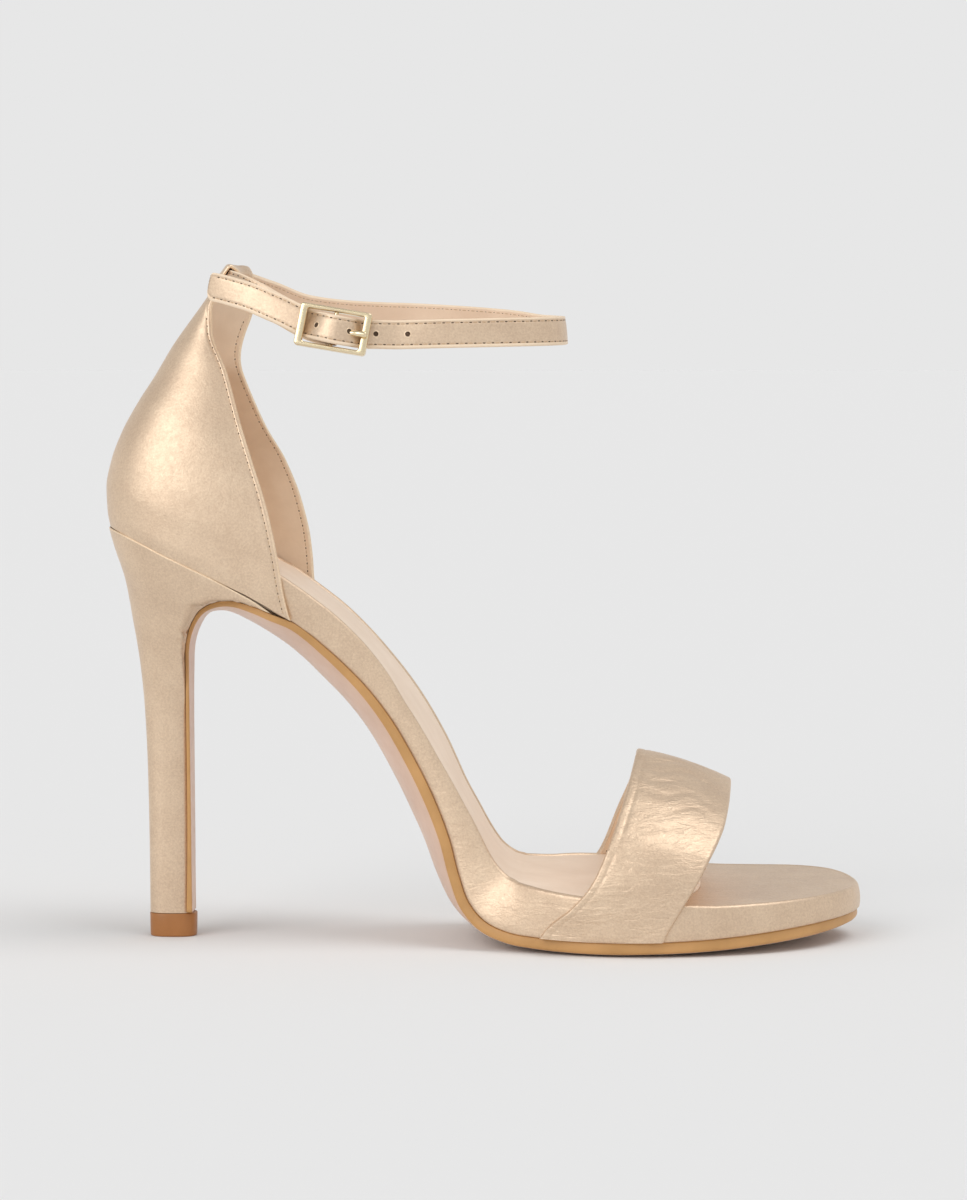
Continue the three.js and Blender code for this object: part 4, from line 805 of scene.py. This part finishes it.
def makeCounter():
    form = counterForm
    rows = np.array(counterRows, float)
    at = np.linspace(0, len(rows) - 1, form["rows"])
    columns = np.column_stack([smoothAt(np.arange(len(rows)), rows[:, k], at) for k in range(9)])
    made = [counterRing(values, bump(row, *form["troughRow"])) for values, row in zip(columns, at)]
    outer, bead = made[0][1], len(form["edge"])  # how many points go over the face and round an edge
    rings = clipToSeat(np.stack([m[0] for m in made]), form["seatGap"])
    inward = rings[:8].mean(1, keepdims=True) - rings[:8]
    inward[..., 2] = 0
    rings[:8, :outer] += unit(inward)[:, :outer] * rollIn(hemSteps, form["tuck"])[:, None, None]
    size, total = rings.shape[1], (len(rings) - 1) * rings.shape[1]
    liningEnd = 2 * outer + bead - 1
    # slot 1, on the edge beads and on the faces across the top, is the lighter gold: a painted highlight along the
    # folded edges
    slot = np.zeros(size, int)
    slot[outer - 1:outer + bead] = slot[liningEnd:] = 1
    slot[outer + bead:liningEnd] = 2
    faces = gridFaces(len(rings), size, True)
    faces += [(total + i, total + i + 1, total + liningEnd - i - 1, total + liningEnd - i) for i in range(outer - 1)]
    slots = np.concatenate([np.tile(slot, len(rings) - 1), np.ones(outer - 1)])
    piece = finishMesh("heel_counter_leather", rings.reshape(-1, 3), faces, [goldPlain, goldEdgeHighlight, liningLeather],
                       slots)
    place(piece, "gold_leather", "heel_counter")
    inside = int(np.argmin(np.abs(edgeSteps - form["stitchIn"])))
    for side, column, inner in (("outer", inside, liningEnd - inside), ("inner", outer - 1 - inside,
                                                                        outer + bead + inside)):
        line, under = rings[4:-12, column], rings[4:-12, inner]
        stitchRow("counter_" + side + "_stitch", line, unit(line - under))
        stitchRow("counter_" + side + "_lining_stitch", under, unit(under - line))
    return rings[3, :outer]


makeHeel(makeCounter())
print("counter and heel made")


# Strap over the toes

vampRows = [  # rear, front
    (0.571, -0.456, 0.02, 0.729, -0.531, 0.02), (0.591, -0.48, 0.137, 0.742, -0.534, 0.137),
    (0.62, -0.51, 0.235, 0.7595, -0.529, 0.253), (0.647, -0.522, 0.359, 0.778, -0.511, 0.374),
    (0.669, -0.487, 0.54, 0.795, -0.468, 0.499), (0.692, -0.322, 0.789, 0.817, -0.325, 0.669),
    (0.703, -0.143, 0.926, 0.826, -0.117, 0.791), (0.709, 0.04, 1, 0.8285, 0.052, 0.846),
    (0.708, 0.185, 0.953, 0.826, 0.195, 0.809), (0.7, 0.302, 0.819, 0.817, 0.312, 0.702),
    (0.682, 0.392, 0.641, 0.797, 0.398, 0.556), (0.655, 0.48, 0.378, 0.774, 0.486, 0.361),
    (0.623, 0.458, 0.224, 0.757, 0.488, 0.214), (0.583, 0.425, 0.02, 0.737, 0.491, 0.02),
]
vampForm = {
    "wall": 2.5, "bulge": 0.9, "rows": 190, "seatGap": 0.1, "stitchIn": 1.6,
    "edge": [(0.22, 0.04), (0.45, 0.16), (0.64, 0.36), (0.76, 0.62), (0.8, 0.9), (0.74, 1.2), (0.58, 1.44),
             (0.34, 1.58), (0.3, 1.68), (0.4, 1.8), (0.44, 2.0), (0.36, 2.2), (0.2, 2.4)],
    "creases": [(0.50, 0.30, 0.24), (0.53, 0.42, 0.2), (0.47, 0.55, 0.2), (0.445, 0.35, 0.24), (0.56, 0.6, 0.16),
                (0.415, 0.5, 0.2), (0.385, 0.6, 0.18), (0.36, 0.4, 0.14)],  # across the foot, along it, depth
}


def makeVamp():
    form = vampForm
    rows = np.array(vampRows, float)
    size = np.array([lastForm["baseLength"], lastForm["ballWidth"], lastForm["instepHeight"]])
    end = len(rows) - 1
    at = np.linspace(0, end, form["rows"])

    def edgeLine(first, at):
        share = np.column_stack([smoothAt(np.arange(len(rows)), rows[:, first + k], at) for k in range(3)])
        return share * size + np.array([seatBack, 0, 0])

    rear, front = edgeLine(0, at), edgeLine(3, at)
    ahead, behind = np.clip(at + 0.2, 0, end), np.clip(at - 0.2, 0, end)
    over = [edgeLine(k, ahead) - edgeLine(k, behind) for k in (0, 3)]
    across = front - rear
    width = np.linalg.norm(across, axis=1).mean()
    near = edgeSteps / width
    u = np.concatenate([near, np.linspace(near[-1], 1 - near[-1], 42)[1:-1], 1 - near[::-1]])
    groove = 0.1 * bump(np.minimum(u, 1 - u) * width, form["stitchIn"], 0.5) * (u < 0.5)
    rings = []
    for i in range(len(at)):
        tangent = over[0][i] * (1 - u)[:, None] + over[1][i] * u[:, None]
        normal = unit(np.cross(across[i][None], tangent))
        base = rear[i] + across[i] * u[:, None]
        swell, crease = 4 * u * (1 - u) * form["bulge"] - groove, 0
        for middle, centre, depth in form["creases"]:
            bend = 0.012 * np.sin(9 * u + 20 * middle)
            crease = crease - depth * bump(at[i] / end - bend, middle, 0.0055) * bump(u, centre, 0.34)
        outer, lining = (base + normal * v[:, None] for v in (swell + crease, swell - form["wall"]))
        forward = unit(across[i])
        bead, rearBead = ([outer[k] + forward * f * way - normal[k] * d for f, d in form["edge"]]
                          for k, way in ((-1, 1), (0, -1)))
        rings.append(np.concatenate([outer, bead, lining[::-1], rearBead[::-1]]))
    # both ends stop at the sole's edge
    rings, half = np.stack(rings), form["rows"] // 2
    rings = np.concatenate([clipToSeat(rings[:half], form["seatGap"]),
                            clipToSeat(rings[half - 1:][::-1], form["seatGap"])[::-1][1:]])
    columns, bead = len(u), len(form["edge"])
    liningEnd = 2 * columns + bead - 1
    slot = np.zeros(rings.shape[1], int)
    slot[columns + bead:liningEnd] = 1
    piece = finishMesh("toe_strap", rings.reshape(-1, 3), gridFaces(len(rings), rings.shape[1], True),
                       [goldVamp, liningLeather], np.tile(slot, len(rings) - 1))
    place(piece, "gold_leather", "vamp_strap")
    inside = int(np.argmin(np.abs(edgeSteps - form["stitchIn"])))
    line, under = rings[6:-6, inside], rings[6:-6, liningEnd - inside]
    stitchRow("toe_strap_lining_stitch", under, unit(under - line))


makeVamp()
print("toe strap made")


# Ankle strap

loopRows = [  # angle, rise, lean
    (0, 0.07, 6), (34, 0.113, 6), (51.5, 0.2, 6), (75.6, 0.298, 7), (90.3, 0.355, 8), (102.5, 0.404, 11),
    (117, 0.51, 17), (135, 0.79, 26), (157, 0.975, 33), (180, 1, 36), (203, 0.94, 33), (219.4, 0.78, 24),
    (235.8, 0.47, 17), (248, 0.166, 12.4), (252.6, 0.07, 12.2), (257.3, -0.008, 12), (262, -0.045, 11.8),
    (268.2, -0.03, 11), (283.4, 0, 8), (309.6, 0.028, 7), (360, 0.07, 6),
]
passRows = [  # run, out
    (0.876, 0), (0.722, 0.15), (0.577, 0.34), (0.464, 0.42), (0.402, 0.48), (0.361, 0.72), (0.309, 1.17),
    (0.232, 1.67), (0.155, 1.98), (0.077, 2.11), (0, 2.13), (-0.077, 2.07), (-0.155, 1.85), (-0.232, 1.47),
    (-0.309, 1), (-0.371, 0.7), (-0.454, 0.65),
]
rootRows = [  # run, out
    (-0.021, 0.72), (-0.103, 0.56), (-0.186, 0.25), (-0.268, 0.06), (-0.361, 0),
]
tailRows = [  # angle, out, drop
    (243, 1.22, 0), (237, 1.3, 0.04), (228, 1.5, 0.1), (219, 1.85, 0.17), (211, 2.4, 0.22),
    (205, 3.1, 0.25), (202, 3.5, 0.26),
]
prongRows = [  # run, out
    (0.026, 1.5), (0.155, 1.58), (0.268, 1.76), (0.376, 2.02), (0.49, 2.06),
]
strapForm = {
    "length": 92.2, "width": 45.0, "fullness": 2.6, "fromBack": 30.7, "lift": 51.8, "climb": 14.1,
    "band": 7.7, "thick": 1.6, "stitchIn": 1.05, "tailLean": 13.0, "tipRound": (2.4, 0.7), "holePitch": 8.6,
    "prongHole": 4.5, "hole": 0.75, "sleeve": (193, 139), "sleeveWall": 1.0, "slant": 6.0, "eyeWall": 0.7,
}
buckleForm = {
    "angle": 257.3, "length": 19.4, "height": 11.6, "depth": 2.2, "endBar": 2.0, "sideBar": 1.2, "bar": 1.2,
    "prong": 1.4, "prongWall": 0.5, "lift": 3.0, "rise": 0.4, "bevel": 0.42, "corner": 1.0, "window": 0.55,
}
loopCentre = seatBack + strapForm["fromBack"] + strapForm["length"] / 2
loopTable, passTable, rootTable, tailTable = (np.array(t, float) for t in (loopRows, passRows, rootRows, tailRows))


def loopAt(angle):
    angle = np.asarray(angle, float)
    c, w = squared(np.radians(angle), strapForm["fullness"])
    rise = smoothAt(loopTable[:, 0], loopTable[:, 1], angle % 360)
    return np.stack([loopCentre + strapForm["length"] / 2 * c, strapForm["width"] / 2 * w,
                     lastForm["heelHeight"] + strapForm["lift"] + rise * strapForm["climb"]], -1)


def loopFrame(angle, lean=None, reach=2):
    angle = np.atleast_1d(np.asarray(angle, float))
    lean = smoothAt(loopTable[:, 0], loopTable[:, 2], angle % 360) if lean is None else np.full(len(angle), lean)
    along = unit(loopAt(angle - reach) - loopAt(angle + reach))
    flat = unit(np.column_stack([-along[:, 1], along[:, 0], 0 * angle]))
    tilt = np.radians(lean)[:, None]
    up = np.array([0, 0, 1.0]) * np.cos(tilt) - flat * np.sin(tilt)
    up = unit(up - along * (up * along).sum(1, keepdims=True))
    return loopAt(angle), along, up, unit(np.cross(up, along))


def angleAtRun(run):
    # the angle that lies a distance along the loop from the buckle
    step = 0.25 * (1 if run > 0 else -1)
    angle, left = buckleForm["angle"], abs(run)
    while left > 0:
        stride = float(np.linalg.norm(loopAt(angle) - loopAt(angle + step)))
        if stride > left:
            return angle + step * left / stride
        left -= stride
        angle += step
    return angle


def strapSection():
    # outer face from its lower edge to its upper one, edge, lining face, edge: (up, out, slot)
    h, d = strapForm["band"] / 2, strapForm["thick"] / 2
    section = []
    for share in np.linspace(-1, 1, 33):
        up = share * (h - 0.32)
        away = h - abs(up)
        groove = 0.11 * bump(away, strapForm["stitchIn"], 0.3)
        section.append((up, d + 0.08 * (1 - share * share) - groove, 1 if away < 0.62 else 0))
    edge = [(h - 0.16, 0.92 * d), (h - 0.04, 0.72 * d), (h, 0.42 * d), (h + 0.01, 0.05 * d), (h - 0.02, -0.35 * d),
            (h - 0.08, -0.7 * d), (h - 0.22, -0.92 * d)]
    section += [(up, out, 1) for up, out in edge]
    section += [(share * (h - 0.4), -d, 2) for share in np.linspace(1, -1, 13)]
    section += [(-up, out, 1) for up, out in reversed(edge)]
    return np.array(section)


def strapPath():
    lift, length = buckleForm["lift"], buckleForm["length"]
    parts = []

    def add(angle, out, drop=0.0, lean=None):
        middle, _, up, outward = loopFrame(angle, lean)
        drop = np.broadcast_to(drop, len(angle))[:, None]
        parts.append((middle + outward * np.asarray(out)[:, None] - up * drop, up))

    def runs(table, count):
        run = np.linspace(table[0, 0], table[-1, 0], count)
        return np.array([angleAtRun(r * length) for r in run]), smoothAt(-table[:, 0], table[:, 1], -run) * lift

    # its root at the buckle, round the ankle, over the bar and on to the free end
    rootAngle, rootOut = runs(rootTable, 14)
    passAngle, passOut = runs(passTable, 64)
    add(rootAngle, rootOut)
    sweep = np.linspace(rootAngle[-1], passAngle[0] - 360, 4000)
    reach = lengthsOf(loopAt(sweep))
    angles = np.interp(np.linspace(0, reach[-1], 300)[1:-1], reach, sweep)
    add(angles, np.zeros(len(angles)))
    add(passAngle, passOut)
    tailAngle = np.linspace(tailTable[0, 0], tailTable[-1, 0], 90)
    out, drop = (smoothAt(-tailTable[:, 0], tailTable[:, k], -tailAngle) for k in (1, 2))
    add(tailAngle, out * strapForm["thick"], drop * strapForm["band"], strapForm["tailLean"])
    middles, ups = (np.concatenate([p[k] for p in parts]) for k in (0, 1))
    # one even, slightly eased path
    lengths = lengthsOf(middles)
    at = np.linspace(0, lengths[-1], 620)
    middles, ups = alongLine(middles, at, lengths), alongLine(ups, at, lengths)
    for _ in range(6):
        for line in (middles, ups):
            line[1:-1] = 0.25 * line[:-2] + 0.5 * line[1:-1] + 0.25 * line[2:]
    return middles, ups


def makeStrap():
    middles, ups = strapPath()
    along = unit(np.gradient(middles, axis=0))
    up = unit(ups - along * (ups * along).sum(1, keepdims=True))
    out = unit(np.cross(up, along))
    rise, depth, slot = strapSection().T
    lengths = lengthsOf(middles)
    h, d, left = strapForm["band"] / 2, strapForm["thick"] / 2, lengths[-1] - lengths
    # the free end is rounded, more below than above
    cutLow, cutHigh = (r - np.sqrt(np.maximum(r ** 2 - np.maximum(r - left, 0) ** 2, 0))
                       for r in strapForm["tipRound"])
    height = -h + cutLow[:, None] + (rise + h) / (2 * h) * (2 * h - cutLow - cutHigh)[:, None]
    rings = middles[:, None] + up[:, None] * height[..., None] + out[:, None] * depth[:, None]
    size, total = len(rise), rings.shape[0] * len(rise)
    points = np.concatenate([rings.reshape(-1, 3), [rings[0].mean(0), rings[-1].mean(0)]])
    faces = gridFaces(len(rings), size, True) + fanFaces(0, size, total) + fanFaces(total - size, size, total + 1)
    slots = np.concatenate([np.tile(slot, len(rings) - 1), np.ones(2 * size)])
    piece = finishMesh("ankle_strap_leather", points, faces, [goldPlain, creamEdge, strapLining], slots)
    place(piece, "gold_leather", "ankle_strap")
    for side, sign in (("lower", -1), ("upper", 1)):
        line = middles + up * sign * (h - strapForm["stitchIn"])
        for ending, way, high, hole, slit in (("_stitch", 1, d - 0.02, 0.15, 0.75),
                                              ("_lining_stitch", -1, d, 0.1, 0.6)):
            stitchRow("strap_" + side + ending, (line + out * way * high)[8:-6], (out * way)[8:-6],
                      dict(threadForm, pitch=2.4, hole=hole, slit=slit))
    return middles, along, up, out, lengths


def punchHoles(line, along, up, out, lengths):
    # round holes drawn on the strap's outer face: each a dark disc, painted shade for the hole's well, with a pressed
    # rim in the lighter gold, a painted highlight
    form = strapForm
    frameMiddle, _, _, frameOut = (v[0] for v in loopFrame(buckleForm["angle"]))
    barPoint = frameMiddle + frameOut * buckleForm["lift"] * dict(passRows)[0]
    zero = lengths[int(np.argmin(np.linalg.norm(line[300:] - barPoint, axis=1))) + 300]
    rim = ((0.02, 0.1), (form["hole"] * 0.94, 0.1), (form["hole"], 0.13), (form["hole"] * 1.12, 0.13),
           (form["hole"] * 1.3, 0.06))  # radius, height
    turn = turnsOf(20)[:, None]
    points, faces = [], []
    for count in range(4):
        at = zero - form["prongHole"] - (count - 1) * form["holePitch"]
        centre, ahead, above, outward = (alongLine(v, at, lengths) for v in (line, along, up, out))
        ahead, above, outward = unit(ahead), unit(above), unit(outward)
        points += [centre + outward * (form["thick"] / 2 + height) + r * (ahead * np.cos(turn) + above * np.sin(turn))
                   for r, height in rim]
        faces += gridFaces(5, 20, True, count * 100)
    # the middle band is painted shade, the rim bands are the lighter gold's painted highlight
    slots = np.tile(np.repeat([1, 0, 0, 0], 20), 4)
    place(finishMesh("strap_holes", np.concatenate(points), faces, [goldEdgeHighlight, paintedShade], slots, merge=1e-7),
          "gold_leather")


def makeSleeve():
    # the counter's top, turned over the strap as a tube
    form, count = strapForm, 60
    middle, along, up, out = loopFrame(np.linspace(*form["sleeve"], count))
    h, d = form["band"] / 2 + gap, form["thick"] / 2 + gap
    outer, inner = (roundedLoop(2 * (h + grow), 2 * (d + grow), radius, 7)
                    for grow, radius in ((form["sleeveWall"], 1.3), (0.05, 0.4)))
    back = np.linspace(0, 1, count) ** 3 * form["slant"]

    def ringAt(i, share, reach=0.0):
        # toward the toe the sleeve's upper edge ends sooner than its lower one
        section = outer * (1 - share) + inner * share
        drawn = back[i] * (0.5 + section[:, :1] / (2 * h))
        return middle[i] + along[i] * (reach - drawn) + up[i] * section[:, :1] + out[i] * section[:, 1:]

    rim = [(0.0, 0.0), (0.12, 0.3), (0.35, 0.5), (0.65, 0.5), (0.88, 0.3), (1.0, 0.0)]
    rings = [ringAt(0, share, -reach) for share, reach in reversed(rim)]
    rings += [ringAt(i, 0) for i in range(count)]
    rings += [ringAt(-1, share, reach) for share, reach in rim[1:]]
    rings += [ringAt(i, 1) for i in reversed(range(count))]
    rings.append(rings[0])
    # slot 1, round both open ends, is the lighter gold: a painted highlight on the rims
    slots = np.repeat([1] * 6 + [0] * (count - 1) + [1] * 6 + [2] * count, len(outer))
    piece = finishMesh("strap_sleeve", np.concatenate(rings), gridFaces(len(rings), len(outer), True),
                       [goldPlain, goldEdgeHighlight, liningLeather], slots)
    place(piece, "gold_leather")


punchHoles(*makeStrap())
makeSleeve()
print("ankle strap made")


# Buckle

def inBuckle(points):
    # from distances along the strap, up it and out from it under the buckle
    half = buckleForm["length"] / 2
    reach = (angleAtRun(half) - angleAtRun(-half)) / 2
    middle, along, up, out = (v[0] for v in loopFrame(buckleForm["angle"], None, reach))
    return np.asarray(points, float) @ np.column_stack([-along, up, out]).T + middle


def makeBuckleFrame():
    form = buckleForm
    low, high, bevel = form["lift"], form["lift"] + form["depth"], form["bevel"]
    turns = np.radians(np.linspace(0, 90, 6))
    climb = [(bevel * (1 - math.cos(turn)), face - end * bevel * (1 - math.sin(turn)))
             for end, face, order in ((-1, low, turns[::-1]), (1, high, turns)) for turn in order]
    loops = [(roundedLoop(form["length"] - 2 * inset, form["height"] - 2 * inset, form["corner"] - inset), z)
             for inset, z in climb]
    loops += [(roundedLoop(form["length"] - 2 * form["endBar"] + 2 * inset,
                           form["height"] - 2 * form["sideBar"] + 2 * inset, form["window"] + inset), z)
              for inset, z in reversed(climb)]
    stack = [np.column_stack([loop + [0, form["rise"]], np.full(len(loop), z)]) for loop, z in loops + loops[:1]]
    piece = finishMesh("buckle_frame_metal", inBuckle(np.concatenate(stack)),
                       gridFaces(len(stack), len(stack[0]), True), [buckleMetal])
    place(piece, "buckle_metal", "buckle_frame")


def aroundBar(name, radius, ys, sides, material, slot):
    middle = buckleForm["lift"] + buckleForm["bar"] / 2
    points = [(radius * math.cos(turn), y, middle + radius * math.sin(turn)) for y in ys for turn in turnsOf(sides)]
    place(finishMesh(name, inBuckle(points), gridFaces(len(ys), sides, True), [material]), slot)


def makeProng():
    form = buckleForm
    table, radius, turn = np.array(prongRows, float), form["prong"] / 2, turnsOf(20)
    run = np.linspace(table[0, 0], table[-1, 0], 50)[:, None]
    out = smoothAt(table[:, 0], table[:, 1], run) * form["lift"]
    along = run * form["length"]
    tip = np.sqrt(np.maximum(1 - np.maximum(1 - (along[-1] - along) / radius, 0) ** 2, 0.0004))
    points = np.stack([along + 0 * turn, 1.15 * radius * tip * np.cos(turn), out + radius * tip * np.sin(turn)], -1)
    piece = finishMesh("buckle_prong_metal", inBuckle(points.reshape(-1, 3)), gridFaces(len(run), len(turn), True),
                       [buckleMetal])
    place(piece, "buckle_metal", "buckle_prong")


makeBuckleFrame()
barReach, eyeReach = (buckleForm["height"] - buckleForm["sideBar"]) / 2, strapForm["band"] / 2 - gap
eyeRadius, prongHalf = buckleForm["bar"] / 2 + gap, buckleForm["prong"] / 2
aroundBar("buckle_bar_metal", buckleForm["bar"] / 2, np.array([-barReach, barReach]) + buckleForm["rise"], 24,
          buckleMetal, "buckle_metal")
makeProng()
aroundBar("prong_eye_metal", eyeRadius + buckleForm["prongWall"], np.linspace(-prongHalf, prongHalf, 5), 32,
          buckleMetal, "buckle_metal")
aroundBar("strap_eye", eyeRadius + strapForm["eyeWall"], np.linspace(-eyeReach, eyeReach, 9), 32,
          goldPlain, "gold_leather")
print("buckle made")


# Floor, light and camera

stageForm = {"floor": 60000.0, "paper": (0.822, 0.822, 0.822), "sky": 0.799, "overhead": 0.45}


def makeFloor():
    half = stageForm["floor"]
    points = [(-half, -half, 0), (half, -half, 0), (half, half, 0), (-half, half, 0)]
    material, _, _ = newMaterial("pale floor", {"Base Color": stageForm["paper"], "Roughness": 0.9,
                                                "Specular IOR Level": 0.0})
    floor = finishMesh("floor", points, [(0, 1, 2, 3)], [material])


def addSun(name, strength, spreadAngle, azimuth, elevation):
    lamp = bpy.data.lights.new(name, "SUN")
    lamp.energy, lamp.angle = strength, math.radians(spreadAngle)
    holder = bpy.data.objects.new(name, lamp)
    a, e = math.radians(azimuth), math.radians(elevation)
    source = Vector((math.sin(a) * math.cos(e), -math.cos(a) * math.cos(e), math.sin(e)))
    holder.rotation_euler = source.to_track_quat("Z", "Y").to_euler()
    bpy.context.scene.collection.objects.link(holder)


def makeSky():
    world = bpy.data.worlds.new("studio")
    world.use_nodes = True
    tree = world.node_tree
    back = tree.nodes["Background"]
    back.inputs["Color"].default_value = (1, 1, 1, 1)
    # even at the horizon, dimmer overhead
    where = addNode(tree, "TexCoord", {}).outputs["Generated"]
    height = addNode(tree, "SeparateXYZ", {"Vector": where}).outputs["Z"]
    dimmed = spread(tree, height, 0.15, 0.8, stageForm["sky"], stageForm["overhead"])
    tree.links.new(dimmed, back.inputs["Strength"])
    bpy.context.scene.world = world


def makeCamera():
    lens = bpy.data.cameras.new("camera")
    lens.sensor_width, lens.lens, lens.sensor_fit = 36.0, 121.32, "AUTO"
    lens.clip_start, lens.clip_end = 0.05, 200.0
    camera = bpy.data.objects.new("camera", lens)
    eye, target = Vector((0.12693, -1.09725, 0.15730)), Vector((0.084776, 0, 0.092059))
    camera.location = eye
    camera.rotation_euler = (eye - target).to_track_quat("Z", "Y").to_euler()
    bpy.context.scene.collection.objects.link(camera)
    bpy.context.scene.camera = camera


makeFloor()
makeSky()
addSun("key", 0.98, 44, -38, 31)
addSun("top", 0.95, 40, 70, 65)
makeCamera()
bpy.context.scene.view_settings.view_transform = "Standard"
bpy.context.scene.view_settings.look = "None"

print("stage, light and camera made")
